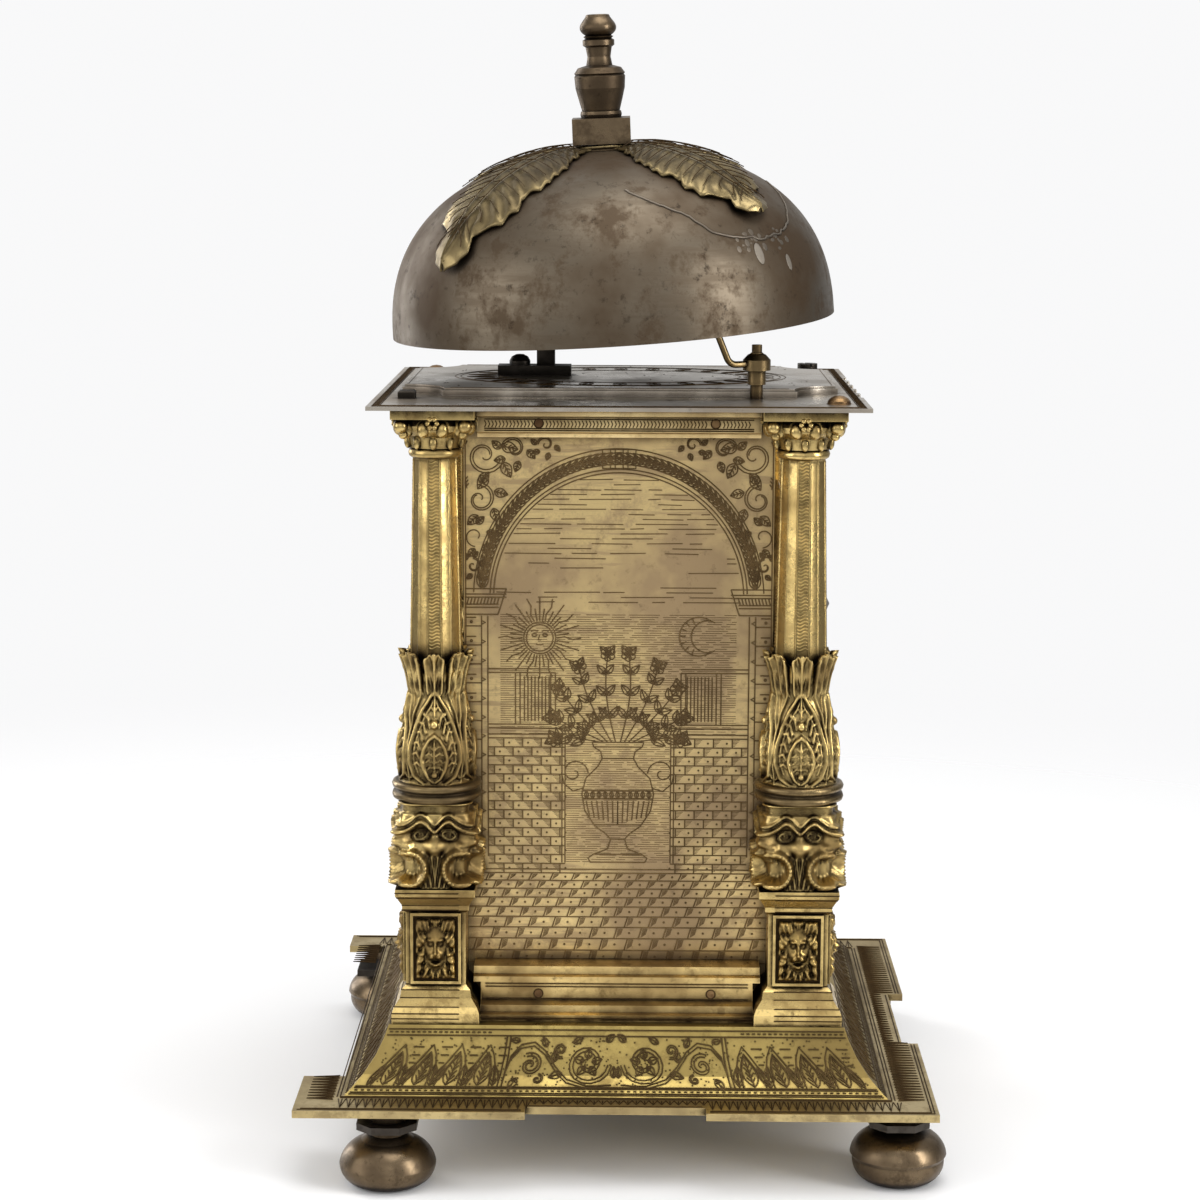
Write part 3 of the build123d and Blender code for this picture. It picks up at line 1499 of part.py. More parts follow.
# Strike train: fusee, pin wheel, locking wheel and fly
pin_pinion_phase = next_phase(strike_great, great_teeth, 0, pin_place, pinion_leaves)
locking_pinion_phase = next_phase(pin_place, pin_wheel_teeth, 0, locking_place, pinion_leaves)
fly_pinion_phase = next_phase(locking_place, locking_teeth, 0, fly_place, pinion_leaves)
count_phase = next_phase(strike_great, count_report_teeth, 0, count_place, count_teeth)
count_low = bar_out + 0.9
count_disc_low = count_low + wheel_thickness + seat_gap
count_disc_top = count_disc_low + count_disc_thickness
with BuildPart() as strike_fusee:
    fusee_cone(strike_great, 1)
    rod(strike_great, 4.5, great_low, barrel_front)
    toothed_wheel(strike_great, great_teeth, great_module, great_low, wheel_thickness, 0)
    arbor(strike_great, arbor_start, arbor_end, pivot_tip, arbor_start, drum_arbor_radius)
    rod(strike_great, winding_radius, arbor_end, case_half)
    toothed_wheel(strike_great, count_report_teeth, count_module, count_low, wheel_thickness, 0, False)
    with BuildSketch(facing(case_half + winding_reach)):
        with Locations(strike_great):
            Rectangle(winding_square, winding_square)
    extrude(amount=winding_reach)
strike_fusee.part.label = "strike_fusee"
export_step(strike_fusee.part, "parts/strike_fusee.step")

with BuildPart() as pin_wheel:
    arbor(pin_place, arbor_start, arbor_end, pivot_tip, bar_out, arbor_radius)
    toothed_wheel(
        pin_place, pinion_leaves, great_module, inner_pinion_low, pinion_length, pin_pinion_phase, False
    )
    toothed_wheel(pin_place, pin_wheel_teeth, strike_module, pin_wheel_low, wheel_thickness, 0)
    with BuildSketch(facing(pin_wheel_low)):
        with Locations(pin_place):
            with PolarLocations(lift_pin_circle, lift_pins):
                Circle(lift_pin_radius)
    extrude(amount=lift_pin_length)
pin_wheel.part.label = "pin_wheel"
export_step(pin_wheel.part, "parts/pin_wheel.step")

with BuildPart() as locking_wheel:
    arbor(locking_place, arbor_start, arbor_end, pivot_tip, bar_out, arbor_radius)
    toothed_wheel(
        locking_place,
        pinion_leaves,
        strike_module,
        outer_pinion_low,
        pinion_length,
        locking_pinion_phase,
        False,
    )
    toothed_wheel(locking_place, locking_teeth, strike_module, thin_wheel_low, thin_wheel, 0)
locking_wheel.part.label = "locking_wheel"
export_step(locking_wheel.part, "parts/locking_wheel.step")

with BuildPart() as fly:
    arbor(fly_place, arbor_start, arbor_end, pivot_tip, bar_out, arbor_radius)
    toothed_wheel(
        fly_place, pinion_leaves, strike_module, fast_pinion_low, pinion_length, fly_pinion_phase, False
    )
    with BuildSketch(facing(barrel_back)):
        with Locations(fly_place):
            Rectangle(2 * fly_radius, 0.7)
            Circle(arbor_radius + 0.6)
    extrude(amount=barrel_back - thin_wheel_low - thin_wheel - fly_gap)
fly.part.label = "fly"
export_step(fly.part, "parts/fly.step")

# Count wheel: a gear with a notched disc. The gaps between notches grow by one blow each hour.
with BuildPart() as count_wheel:
    rod(count_place, arbor_radius, bar_in, count_low + wheel_thickness)
    toothed_wheel(count_place, count_teeth, count_module, count_low, wheel_thickness, count_phase, False)
    rod(count_place, 4, count_low + wheel_thickness, count_disc_low)
    with BuildSketch(facing(count_disc_top)):
        with Locations(count_place):
            Circle(count_disc_radius)
            for hour in range(1, 13):
                turned = 360 * hour * (hour + 1) / 2 / blows
                with Locations(Location((0, 0, 0), (0, 0, turned))):
                    with Locations((count_disc_radius, 0)):
                        Rectangle(2 * count_notch, count_notch, mode=Mode.SUBTRACT)
    extrude(amount=count_disc_thickness)
count_wheel.part.label = "count_wheel"
export_step(count_wheel.part, "parts/count_wheel.step")


def arm(start, end, width, y_low, y_high):
    # A flat arm between two places, with a rounded hub at its start
    length = hypot(end[0] - start[0], end[1] - start[1])
    turned = degrees(atan2(end[1] - start[1], end[0] - start[0]))
    with BuildSketch(facing(y_high)) as section:
        with Locations(Location((start[0], start[1], 0), (0, 0, turned))):
            with Locations((length / 2, 0)):
                Rectangle(length, width)
        with Locations(start):
            Circle(arbor_radius + 0.7)
    extrude(section.sketch, amount=y_high - y_low)


def short_of(start, end, gap):
    # The point on the way from one place to another that stops short by the gap
    length = hypot(end[0] - start[0], end[1] - start[1])
    share = (length - gap) / length
    return (start[0] + share * (end[0] - start[0]), start[1] + share * (end[1] - start[1]))


# Release lever: one arm feels the count wheel and the other reaches up to the hour wheel
count_arm_end = short_of(release_place, count_place, count_disc_radius + 0.5)
hour_arm_end = short_of(release_place, hour_place, pitch_radius(hour_teeth + 2, motion_module) + 0.5)
with BuildPart() as release_lever:
    rod(release_place, arbor_radius, motion_low, count_disc_top)
    arm(release_place, hour_arm_end, 2.4, motion_low, motion_low + wheel_thickness)
    arm(release_place, count_arm_end, 2.4, count_disc_low, count_disc_top)
release_lever.part.label = "release_lever"
export_step(release_lever.part, "parts/release_lever.step")

# Hammer lifter: the long arm rides the pin wheel and the finger pushes the hammer's pallet
lifter_arm_low = pin_wheel_low - 4.4
finger_face = hammer_x - pallet_half - seat_gap
finger_back = finger_face - 1.3
finger_depth = (-pillar_y - 2, -pillar_y)
finger_top = pallet_low + 2.5
lifter_low = lifter_place[1] - 1
lifter_tip_circle = lift_pin_circle + 2.0
lifter_tip = (
    pin_place[0] + lifter_tip_circle * cos(radians(140)),
    pin_place[1] + lifter_tip_circle * sin(radians(140)),
)
with BuildPart() as hammer_lifter:
    arbor(lifter_place, -arbor_end, arbor_end, -bar_out, bar_out, arbor_radius)
    arm(lifter_place, lifter_tip, 2.0, lifter_arm_low, lifter_arm_low + 1.5)
    rod(lifter_place, arbor_radius + 0.7, finger_depth[0], finger_depth[1])
    slab((finger_back, lifter_place[0]), finger_depth, (lifter_low, lifter_low + 2))
    slab((finger_back, finger_face), finger_depth, (lifter_low, finger_top))
hammer_lifter.part.label = "hammer_lifter"
export_step(hammer_lifter.part, "parts/hammer_lifter.step")


def gut_run(barrel_place, drum_place, y):
    # A line from barrel to fusee under both, which turns up most of a quarter round each
    side = 1 if drum_place[0] > barrel_place[0] else -1
    barrel_wrap = barrel_radius + gut_radius + seat_gap
    drum_wrap = fusee_radius(abs(y)) + gut_radius + seat_gap
    distance = abs(drum_place[0] - barrel_place[0])
    lean = -acos(side * (barrel_wrap - drum_wrap) / distance)
    start = (barrel_place[0] + barrel_wrap * cos(lean), barrel_place[1] + barrel_wrap * sin(lean))
    end = (drum_place[0] + drum_wrap * cos(lean), drum_place[1] + drum_wrap * sin(lean))
    with BuildLine(facing(y)) as route:
        CenterArc(barrel_place, barrel_wrap, degrees(lean) - side * gut_wrap, side * gut_wrap)
        Line(start, end)
        CenterArc(drum_place, drum_wrap, degrees(lean), side * gut_wrap)
    with BuildSketch(Plane(route.line @ 0, z_dir=route.line % 0)) as section:
        Circle(gut_radius)
    sweep(section.sketch, path=route.line)


# Gut lines from each barrel to its fusee
gut_depth = (barrel_front + barrel_back) / 2
with BuildPart() as gut_lines:
    gut_run(going_barrel_place, going_great, -gut_depth)
    gut_run(strike_barrel_place, strike_great, gut_depth)
gut_lines.part.label = "gut_lines"
export_step(gut_lines.part, "parts/gut_lines.step")
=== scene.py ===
import bpy
import bmesh
import math
import random
from mathutils import Matrix, Vector, noise


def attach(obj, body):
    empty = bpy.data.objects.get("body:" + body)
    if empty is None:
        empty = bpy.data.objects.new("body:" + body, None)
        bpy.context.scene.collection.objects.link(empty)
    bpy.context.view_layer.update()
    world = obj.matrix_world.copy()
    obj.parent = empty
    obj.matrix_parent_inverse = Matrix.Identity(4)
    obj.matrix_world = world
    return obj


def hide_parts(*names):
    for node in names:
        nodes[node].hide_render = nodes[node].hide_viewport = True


# Tabernacle clock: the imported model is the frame, and the engraved and cast ornament is added to it.
# The dial faces -Y and the engraved side in the main view faces -X. Settings are in millimetres.

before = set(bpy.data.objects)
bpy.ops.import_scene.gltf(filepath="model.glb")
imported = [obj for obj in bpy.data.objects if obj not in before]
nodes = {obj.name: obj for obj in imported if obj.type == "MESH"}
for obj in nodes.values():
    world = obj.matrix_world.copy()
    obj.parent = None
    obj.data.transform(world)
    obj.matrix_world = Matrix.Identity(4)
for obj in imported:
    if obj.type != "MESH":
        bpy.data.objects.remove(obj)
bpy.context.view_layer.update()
scene = bpy.context.scene
random.seed(11)
mm = 0.001


# Camera and light

camera = {"place": (-767.4, -3.8, 259.1), "pitch": 9.07, "yaw": 0.67, "roll": 0.20, "lens": 87.21}


def addCamera():
    pitch, yaw, roll = (math.radians(camera[k]) for k in ("pitch", "yaw", "roll"))
    forward = Vector((math.cos(yaw) * math.cos(pitch), math.sin(yaw) * math.cos(pitch), -math.sin(pitch)))
    right = Vector((math.sin(yaw), -math.cos(yaw), 0))
    up = right.cross(forward)
    rolledRight = right * math.cos(roll) + up * math.sin(roll)
    rolledUp = up * math.cos(roll) - right * math.sin(roll)
    data = bpy.data.cameras.new("camera")
    data.sensor_width = 36
    data.lens = camera["lens"]
    data.clip_start = 0.01
    cam = bpy.data.objects.new("camera", data)
    scene.collection.objects.link(cam)
    turned = Matrix((rolledRight, rolledUp, -forward)).transposed().to_4x4()
    cam.matrix_world = Matrix.Translation(Vector(camera["place"]) * mm) @ turned
    scene.camera = cam


studio = {
    "left": {"place": (-0.45, 0.95, 0.45), "size": (0.7, 0.9), "power": 5.0},
    "right": {"place": (-0.52, -0.92, 0.47), "size": (0.3, 0.9), "power": 7.5},
    "front": {"place": (-1.2, 0.2, 0.6), "size": (1.2, 0.7), "power": 1.8},
    "top": {"place": (-0.1, -0.15, 1.25), "size": (0.9, 0.7), "power": 6.0},
    "back": {"place": (0.75, 0.85, 0.45), "size": (0.3, 0.9), "power": 5.5},
}


def addStudio():
    target = Vector((0, 0, 0.13))
    for name, lamp in studio.items():
        data = bpy.data.lights.new(f"lamp_{name}", "AREA")
        data.shape = "RECTANGLE"
        data.size, data.size_y = lamp["size"]
        data.energy = lamp["power"]
        obj = bpy.data.objects.new(f"lamp_{name}", data)
        scene.collection.objects.link(obj)
        obj.location = lamp["place"]
        obj.rotation_euler = (target - Vector(lamp["place"])).to_track_quat("-Z", "Y").to_euler()
    world = bpy.data.worlds.new("studioWorld")
    scene.world = world
    world.use_nodes = True
    tree = world.node_tree
    tree.nodes.clear()
    link = tree.links.new
    out = tree.nodes.new("ShaderNodeOutputWorld")
    path = tree.nodes.new("ShaderNodeLightPath")
    coord = tree.nodes.new("ShaderNodeTexCoord")
    split = tree.nodes.new("ShaderNodeSeparateXYZ")
    link(coord.outputs["Generated"], split.inputs[0])

    def background(low, high, axis, strength):
        # A plain backdrop that grows paler along one axis
        shade = tree.nodes.new("ShaderNodeBackground")
        ramp = tree.nodes.new("ShaderNodeMapRange")
        ramp.inputs["From Min"].default_value = -1
        ramp.inputs["To Min"].default_value = low
        ramp.inputs["To Max"].default_value = high
        link(split.outputs[axis], ramp.inputs["Value"])
        link(ramp.outputs["Result"], shade.inputs["Color"])
        shade.inputs["Strength"].default_value = strength
        return shade, ramp

    room, _ = background(0.55, 1.0, "Z", 0.62)
    shown, height = background(0.30, 0.86, "Z", 1.0)
    pale = tree.nodes.new("ShaderNodeBackground")
    pale.inputs["Color"].default_value = (0.945, 0.945, 0.95, 1)
    # The metal sees the pale backdrop behind the clock and a dimmer room at its sides
    sideways = tree.nodes.new("ShaderNodeMath")
    sideways.operation = "ABSOLUTE"
    dimmed = tree.nodes.new("ShaderNodeMapRange")
    dimmed.inputs["From Min"].default_value = 0.35
    dimmed.inputs["From Max"].default_value = 0.95
    dimmed.inputs["To Min"].default_value = 1.0
    dimmed.inputs["To Max"].default_value = 0.35
    times = tree.nodes.new("ShaderNodeMath")
    times.operation = "MULTIPLY"
    link(split.outputs["Y"], sideways.inputs[0])
    link(sideways.outputs[0], dimmed.inputs["Value"])
    link(height.outputs["Result"], times.inputs[0])
    link(dimmed.outputs["Result"], times.inputs[1])
    link(times.outputs[0], shown.inputs["Color"])
    seen = tree.nodes.new("ShaderNodeMath")
    seen.operation = "MAXIMUM"
    link(path.outputs["Is Glossy Ray"], seen.inputs[0])
    link(path.outputs["Is Transmission Ray"], seen.inputs[1])
    inner = tree.nodes.new("ShaderNodeMixShader")
    outer = tree.nodes.new("ShaderNodeMixShader")
    link(seen.outputs[0], inner.inputs["Fac"])
    link(room.outputs[0], inner.inputs[1])
    link(shown.outputs[0], inner.inputs[2])
    link(path.outputs["Is Camera Ray"], outer.inputs["Fac"])
    link(inner.outputs[0], outer.inputs[1])
    link(pale.outputs[0], outer.inputs[2])
    link(outer.outputs[0], out.inputs["Surface"])
    scene.view_settings.view_transform = "Standard"


def addFloor():
    # The floor fades into the white background with distance
    bm = bmesh.new()
    bmesh.ops.create_circle(bm, cap_ends=True, segments=64, radius=2.4)
    mesh = bpy.data.meshes.new("floor")
    bm.to_mesh(mesh)
    bm.free()
    floor = bpy.data.objects.new("floor", mesh)
    scene.collection.objects.link(floor)
    mat = bpy.data.materials.new("paleFloor")
    mat.use_nodes = True
    tree = mat.node_tree
    tree.nodes.clear()
    out = tree.nodes.new("ShaderNodeOutputMaterial")
    mix = tree.nodes.new("ShaderNodeMixShader")
    clear = tree.nodes.new("ShaderNodeBsdfTransparent")
    paint = tree.nodes.new("ShaderNodeBsdfDiffuse")
    paint.inputs["Color"].default_value = (0.90, 0.90, 0.905, 1)
    coord = tree.nodes.new("ShaderNodeTexCoord")
    length = tree.nodes.new("ShaderNodeVectorMath")
    length.operation = "LENGTH"
    fade = tree.nodes.new("ShaderNodeMapRange")
    fade.interpolation_type = "SMOOTHSTEP"
    fade.inputs["From Min"].default_value = 0.12
    fade.inputs["From Max"].default_value = 0.62
    tree.links.new(coord.outputs["Object"], length.inputs[0])
    tree.links.new(length.outputs["Value"], fade.inputs["Value"])
    tree.links.new(fade.outputs["Result"], mix.inputs["Fac"])
    tree.links.new(paint.outputs[0], mix.inputs[1])
    tree.links.new(clear.outputs[0], mix.inputs[2])
    tree.links.new(mix.outputs[0], out.inputs["Surface"])
    floor.data.materials.append(mat)


addCamera()
addStudio()
addFloor()
print("camera, studio and floor done")


# Materials


def patinaGroup():
    # Clean metal, tarnish in clouds, painted shade in the hollows with specks of dark dirt, and bright worn
    # metal on edges
    group = bpy.data.node_groups.new("patina", "ShaderNodeTree")
    face = group.interface
    for name in ("Clean", "Tarnish", "Dark"):
        face.new_socket(name=name, in_out="INPUT", socket_type="NodeSocketColor")
    for name, value in (("Open", 1.0), ("Edge", 0.0), ("Scale", 60.0), ("Tarnish Amount", 0.5),
                        ("Shade And Dirt Amount", 0.7), ("Wear Amount", 0.4), ("Gloss", 0.3), ("Brushed", 0.0)):
        face.new_socket(name=name, in_out="INPUT", socket_type="NodeSocketFloat").default_value = value
    face.new_socket(name="Color", in_out="OUTPUT", socket_type="NodeSocketColor")
    face.new_socket(name="Roughness", in_out="OUTPUT", socket_type="NodeSocketFloat")
    face.new_socket(name="Height", in_out="OUTPUT", socket_type="NodeSocketFloat")
    n, link = group.nodes, group.links.new
    inp, out = n.new("NodeGroupInput"), n.new("NodeGroupOutput")
    coord = n.new("ShaderNodeTexCoord")

    def noiseAt(factor, detail, rough=0.55, stretch=None):
        node = n.new("ShaderNodeTexNoise")
        node.inputs["Detail"].default_value = detail
        node.inputs["Roughness"].default_value = rough
        times = n.new("ShaderNodeMath")
        times.operation = "MULTIPLY"
        times.inputs[1].default_value = factor
        link(inp.outputs["Scale"], times.inputs[0])
        link(times.outputs[0], node.inputs["Scale"])
        if stretch:
            mapping = n.new("ShaderNodeMapping")
            mapping.inputs["Scale"].default_value = stretch
            link(coord.outputs["Object"], mapping.inputs["Vector"])
            link(mapping.outputs[0], node.inputs["Vector"])
        else:
            link(coord.outputs["Object"], node.inputs["Vector"])
        return node.outputs["Fac"]

    def ranged(value, low, high, toLow=0.0, toHigh=1.0):
        node = n.new("ShaderNodeMapRange")
        node.inputs["From Min"].default_value = low
        node.inputs["From Max"].default_value = high
        node.inputs["To Min"].default_value = toLow
        node.inputs["To Max"].default_value = toHigh
        link(value, node.inputs["Value"])
        return node.outputs["Result"]

    def math2(operation, a, b):
        node = n.new("ShaderNodeMath")
        node.operation = operation
        node.use_clamp = True
        for socket, value in zip(node.inputs, (a, b)):
            if isinstance(value, float):
                socket.default_value = value
            else:
                link(value, socket)
        return node.outputs[0]

    def mixed(factor, a, b):
        node = n.new("ShaderNodeMix")
        node.data_type = "RGBA"
        link(factor, node.inputs["Factor"])
        link(a, node.inputs[6])
        link(b, node.inputs[7])
        return node.outputs[2]

    blotches = math2("MULTIPLY", ranged(noiseAt(2.4, 8, 0.72), 0.47, 0.62), 0.8)
    clouds = math2("MAXIMUM", ranged(noiseAt(0.5, 5), 0.44, 0.60), blotches)
    specks = ranged(noiseAt(7, 5, 0.75), 0.57, 0.70)
    streaks = ranged(noiseAt(1.0, 6, 0.6, (1, 1, 9)), 0.45, 0.62)
    tarnish = math2("MULTIPLY", math2("MAXIMUM", clouds, math2("MULTIPLY", streaks, inp.outputs["Brushed"])),
                    inp.outputs["Tarnish Amount"])
    base = mixed(tarnish, inp.outputs["Clean"], inp.outputs["Tarnish"])
    # Painted shade: the colour darkens towards Dark in hollows that the ambient occlusion finds, broken up by
    # noise; the specks add real dirt
    closed = math2("SUBTRACT", 1.0, inp.outputs["Open"])
    hollowShade = math2("MULTIPLY", closed, ranged(noiseAt(2.5, 4), 0.3, 0.6, 0.7, 1.5))
    shadeAndDirt = math2("MAXIMUM", hollowShade, math2("MULTIPLY", specks, 0.5))
    shadeAndDirt = math2("MULTIPLY", shadeAndDirt, inp.outputs["Shade And Dirt Amount"])
    shadedAndDirty = mixed(shadeAndDirt, base, inp.outputs["Dark"])
    rubbed = math2("MULTIPLY", math2("MULTIPLY", inp.outputs["Edge"], ranged(noiseAt(3, 3), 0.35, 0.6)),
                   inp.outputs["Wear Amount"])
    link(mixed(rubbed, shadedAndDirty, inp.outputs["Clean"]), out.inputs["Color"])
    roughAdd = math2("MULTIPLY", math2("ADD", shadeAndDirt, tarnish), 0.25)
    link(math2("ADD", inp.outputs["Gloss"], roughAdd), out.inputs["Roughness"])
    link(math2("ADD", math2("MULTIPLY", noiseAt(0.9, 3), 0.8), math2("MULTIPLY", noiseAt(12, 3), 0.12)),
         out.inputs["Height"])
    return group


patina = patinaGroup()


def metal(name, clean, tarnish, dark, scale=60, tarnishAmount=0.5, shadeAndDirt=0.7, wear=0.4, gloss=0.3,
          brushed=0.0, bump=0.15, hollow=2.5, metallic=1.0):
    mat = bpy.data.materials.new(name)
    mat.use_nodes = True
    tree = mat.node_tree
    shader = tree.nodes["Principled BSDF"]
    shader.inputs["Metallic"].default_value = metallic
    group = tree.nodes.new("ShaderNodeGroup")
    group.node_tree = patina
    values = {"Clean": (*clean, 1), "Tarnish": (*tarnish, 1), "Dark": (*dark, 1), "Scale": scale,
              "Gloss": gloss, "Tarnish Amount": tarnishAmount, "Shade And Dirt Amount": shadeAndDirt, "Wear Amount": wear,
              "Brushed": brushed}
    for key, value in values.items():
        group.inputs[key].default_value = value
    # Ambient occlusion finds the hollows, which take painted shade in the colour; an inside occlusion finds
    # edges, which show worn clean metal
    hollows = tree.nodes.new("ShaderNodeAmbientOcclusion")
    hollows.samples = 6
    hollows.inputs["Distance"].default_value = hollow * mm
    edges = tree.nodes.new("ShaderNodeAmbientOcclusion")
    edges.samples = 6
    edges.inside = True
    edges.inputs["Distance"].default_value = 0.5 * mm
    sharper = tree.nodes.new("ShaderNodeMapRange")
    sharper.inputs["From Min"].default_value = 0.56
    sharper.inputs["From Max"].default_value = 0.97
    flipped = tree.nodes.new("ShaderNodeMapRange")
    flipped.inputs["From Min"].default_value = 0.75
    flipped.inputs["From Max"].default_value = 0.45
    tree.links.new(hollows.outputs["AO"], sharper.inputs["Value"])
    tree.links.new(sharper.outputs["Result"], group.inputs["Open"])
    tree.links.new(edges.outputs["AO"], flipped.inputs["Value"])
    tree.links.new(flipped.outputs["Result"], group.inputs["Edge"])
    relief = tree.nodes.new("ShaderNodeBump")
    relief.inputs["Strength"].default_value = bump
    relief.inputs["Distance"].default_value = 0.6 * mm
    tree.links.new(group.outputs["Height"], relief.inputs["Height"])
    tree.links.new(group.outputs["Color"], shader.inputs["Base Color"])
    tree.links.new(group.outputs["Roughness"], shader.inputs["Roughness"])
    tree.links.new(relief.outputs["Normal"], shader.inputs["Normal"])
    return mat


gilt = metal("wornGilding", (0.74, 0.545, 0.215), (0.20, 0.125, 0.045), (0.020, 0.012, 0.007), scale=85,
             tarnishAmount=0.8, shadeAndDirt=1.0, wear=1.0, gloss=0.20, bump=0.35, hollow=3.6)
giltFlat = metal("wornMouldings", (0.68, 0.495, 0.205), (0.19, 0.12, 0.048), (0.024, 0.014, 0.008), scale=60,
                 tarnishAmount=0.85, shadeAndDirt=1.0, wear=1.0, gloss=0.23, brushed=0.4, bump=0.3, hollow=3.2)
panelMetal = metal("engravedPanel", (0.76, 0.575, 0.265), (0.37, 0.265, 0.15), (0.09, 0.06, 0.034), scale=44,
                   tarnishAmount=0.95, shadeAndDirt=0.75, wear=0.5, gloss=0.33, brushed=0.8, bump=0.2, hollow=3.0)
baseMetal = metal("engravedBase", (0.43, 0.32, 0.105), (0.22, 0.155, 0.055), (0.035, 0.022, 0.011), scale=45,
                  tarnishAmount=0.85, shadeAndDirt=0.9, wear=0.9, gloss=0.27, bump=0.3, hollow=2.5)
flangeMetal = metal("dullFlange", (0.54, 0.42, 0.20), (0.21, 0.15, 0.075), (0.035, 0.024, 0.014), scale=60,
                    tarnishAmount=0.8, shadeAndDirt=0.9, wear=0.8, gloss=0.32, bump=0.2)
# Greyer brass for the top plates: the base colour holds a painted sheen, the silvery reflection of the gilt
# brass
topSheenMetal = metal("topSheet", (0.60, 0.55, 0.475), (0.29, 0.235, 0.175), (0.05, 0.036, 0.026), scale=40,
                 tarnishAmount=0.8, shadeAndDirt=0.8, wear=0.5, gloss=0.22, brushed=0.4, bump=0.12)
bellMetal = metal("bellBronze", (0.142, 0.115, 0.083), (0.088, 0.060, 0.037), (0.018, 0.012, 0.008), scale=46,
                  tarnishAmount=1.0, shadeAndDirt=1.0, wear=0.7, gloss=0.41, brushed=0.35, bump=0.4)
darkBronze = metal("darkBronze", (0.18, 0.13, 0.078), (0.072, 0.050, 0.031), (0.013, 0.009, 0.006), scale=80,
                   tarnishAmount=0.9, shadeAndDirt=0.9, wear=1.0, gloss=0.27, bump=0.3)
leafMetal = metal("leafBrass", (0.30, 0.23, 0.11), (0.115, 0.085, 0.045), (0.02, 0.013, 0.008), scale=90,
                  tarnishAmount=0.85, shadeAndDirt=0.75, wear=1.0, gloss=0.30, bump=0.25)
iron = metal("blackIron", (0.07, 0.06, 0.05), (0.03, 0.025, 0.02), (0.008, 0.007, 0.006), scale=80,
             tarnishAmount=0.8, shadeAndDirt=0.8, wear=0.9, gloss=0.32, bump=0.3)
rivetMetal = metal("brownRivet", (0.30, 0.185, 0.085), (0.13, 0.07, 0.035), (0.03, 0.016, 0.01), scale=90,
                   tarnishAmount=0.9, shadeAndDirt=0.9, wear=0.9, gloss=0.3, bump=0.25)
hammerMetal = metal("hammerBronze", (0.25, 0.18, 0.085), (0.10, 0.068, 0.034), (0.018, 0.012, 0.008), scale=90,
                    tarnishAmount=0.9, shadeAndDirt=0.9, wear=1.0, gloss=0.26, bump=0.25)
frameIron = metal("filedIron", (0.27, 0.26, 0.25), (0.15, 0.14, 0.13), (0.03, 0.026, 0.022), scale=60,
                  gloss=0.33)
wheelBrass = metal("wheelBrass", (0.66, 0.46, 0.16), (0.40, 0.27, 0.10), (0.06, 0.04, 0.02), scale=60,
                   gloss=0.25)
steel = metal("blueSteel", (0.36, 0.35, 0.34), (0.16, 0.15, 0.15), (0.03, 0.028, 0.026), scale=70, gloss=0.24)
gut = metal("gutLine", (0.42, 0.28, 0.13), (0.28, 0.17, 0.08), (0.07, 0.04, 0.02), scale=160,
            gloss=0.5, metallic=0.0)
groove = metal("engravedLine", (0.085, 0.052, 0.022), (0.055, 0.033, 0.016), (0.02, 0.012, 0.007), scale=90,
               gloss=0.5, bump=0.1)
faintGroove = metal("rubbedLine", (0.20, 0.125, 0.055), (0.13, 0.08, 0.04), (0.05, 0.03, 0.015), scale=60,
                    gloss=0.42, bump=0.1)
panelLine = metal("panelLine", (0.25, 0.165, 0.075), (0.16, 0.105, 0.052), (0.04, 0.025, 0.013), scale=70,
                  tarnishAmount=0.8, shadeAndDirt=0.6, wear=0.2, gloss=0.45, bump=0.1)
slopeLine = metal("slopeLine", (0.13, 0.085, 0.035), (0.085, 0.055, 0.025), (0.03, 0.018, 0.01), scale=80,
                  tarnishAmount=0.8, shadeAndDirt=0.7, wear=0.2, gloss=0.45, bump=0.1)
paleScar = metal("solderScar", (0.30, 0.265, 0.22), (0.20, 0.165, 0.13), (0.08, 0.06, 0.045), scale=150,
                 gloss=0.5)
# A brighter copy of the moulding gilding with painted light, for the upper mouldings that lie in the shade of
# the top plate's overhang
giltLitCopy = metal("paintedLightMouldings", (0.88, 0.68, 0.34), (0.40, 0.28, 0.13), (0.028, 0.017, 0.009), scale=60,
                   tarnishAmount=0.8, shadeAndDirt=0.8, wear=0.8, gloss=0.28, bump=0.2)
seamMetal = metal("solderSeam", (0.20, 0.17, 0.135), (0.13, 0.10, 0.072), (0.03, 0.02, 0.014), scale=120,
                  gloss=0.38)
lionMetal = metal("lionBronze", (0.42, 0.29, 0.10), (0.20, 0.13, 0.05), (0.02, 0.012, 0.007), scale=85,
                  tarnishAmount=0.9, shadeAndDirt=0.95, wear=1.0, gloss=0.24, bump=0.25)
finishes = {
    gilt: "pedestals mask_blocks capitals column_front_left column_front_right column_back_left "
          "column_back_right",
    giltFlat: "lower_mouldings chapter_ring",
    giltLitCopy: "upper_mouldings",
    rivetMetal: "rivets",
    hammerMetal: "hammer hammer_arbor",
    panelMetal: "side_panel_left side_panel_right dial_plate back_panel",
    baseMetal: "base_slope",
    flangeMetal: "base_flange",
    topSheenMetal: "case_top_sheet movement_top_plate",
    bellMetal: "bell",
    darkBronze: "foot_front_left foot_front_right foot_back_left foot_back_right bell_washer finial",
    leafMetal: "bell_leaves",
    iron: "foot_plates bell_stand slotted_screws corner_latch",
    frameIron: "column_rods bottom_plate movement_pillars front_bar middle_bar back_bar",
    wheelBrass: "going_barrel going_fusee second_wheel third_wheel crown_wheel escapement_cocks idler_wheel "
                "hour_wheel strike_barrel strike_fusee pin_wheel locking_wheel fly count_wheel",
    steel: "hammer_spring verge_and_balance hour_hand hand_knob release_lever hammer_lifter",
    gut: "gut_lines",
}
for mat, names in finishes.items():
    for name in names.split():
        for slot in nodes[name].material_slots:
            slot.material = mat
print("materials done")


# Helpers


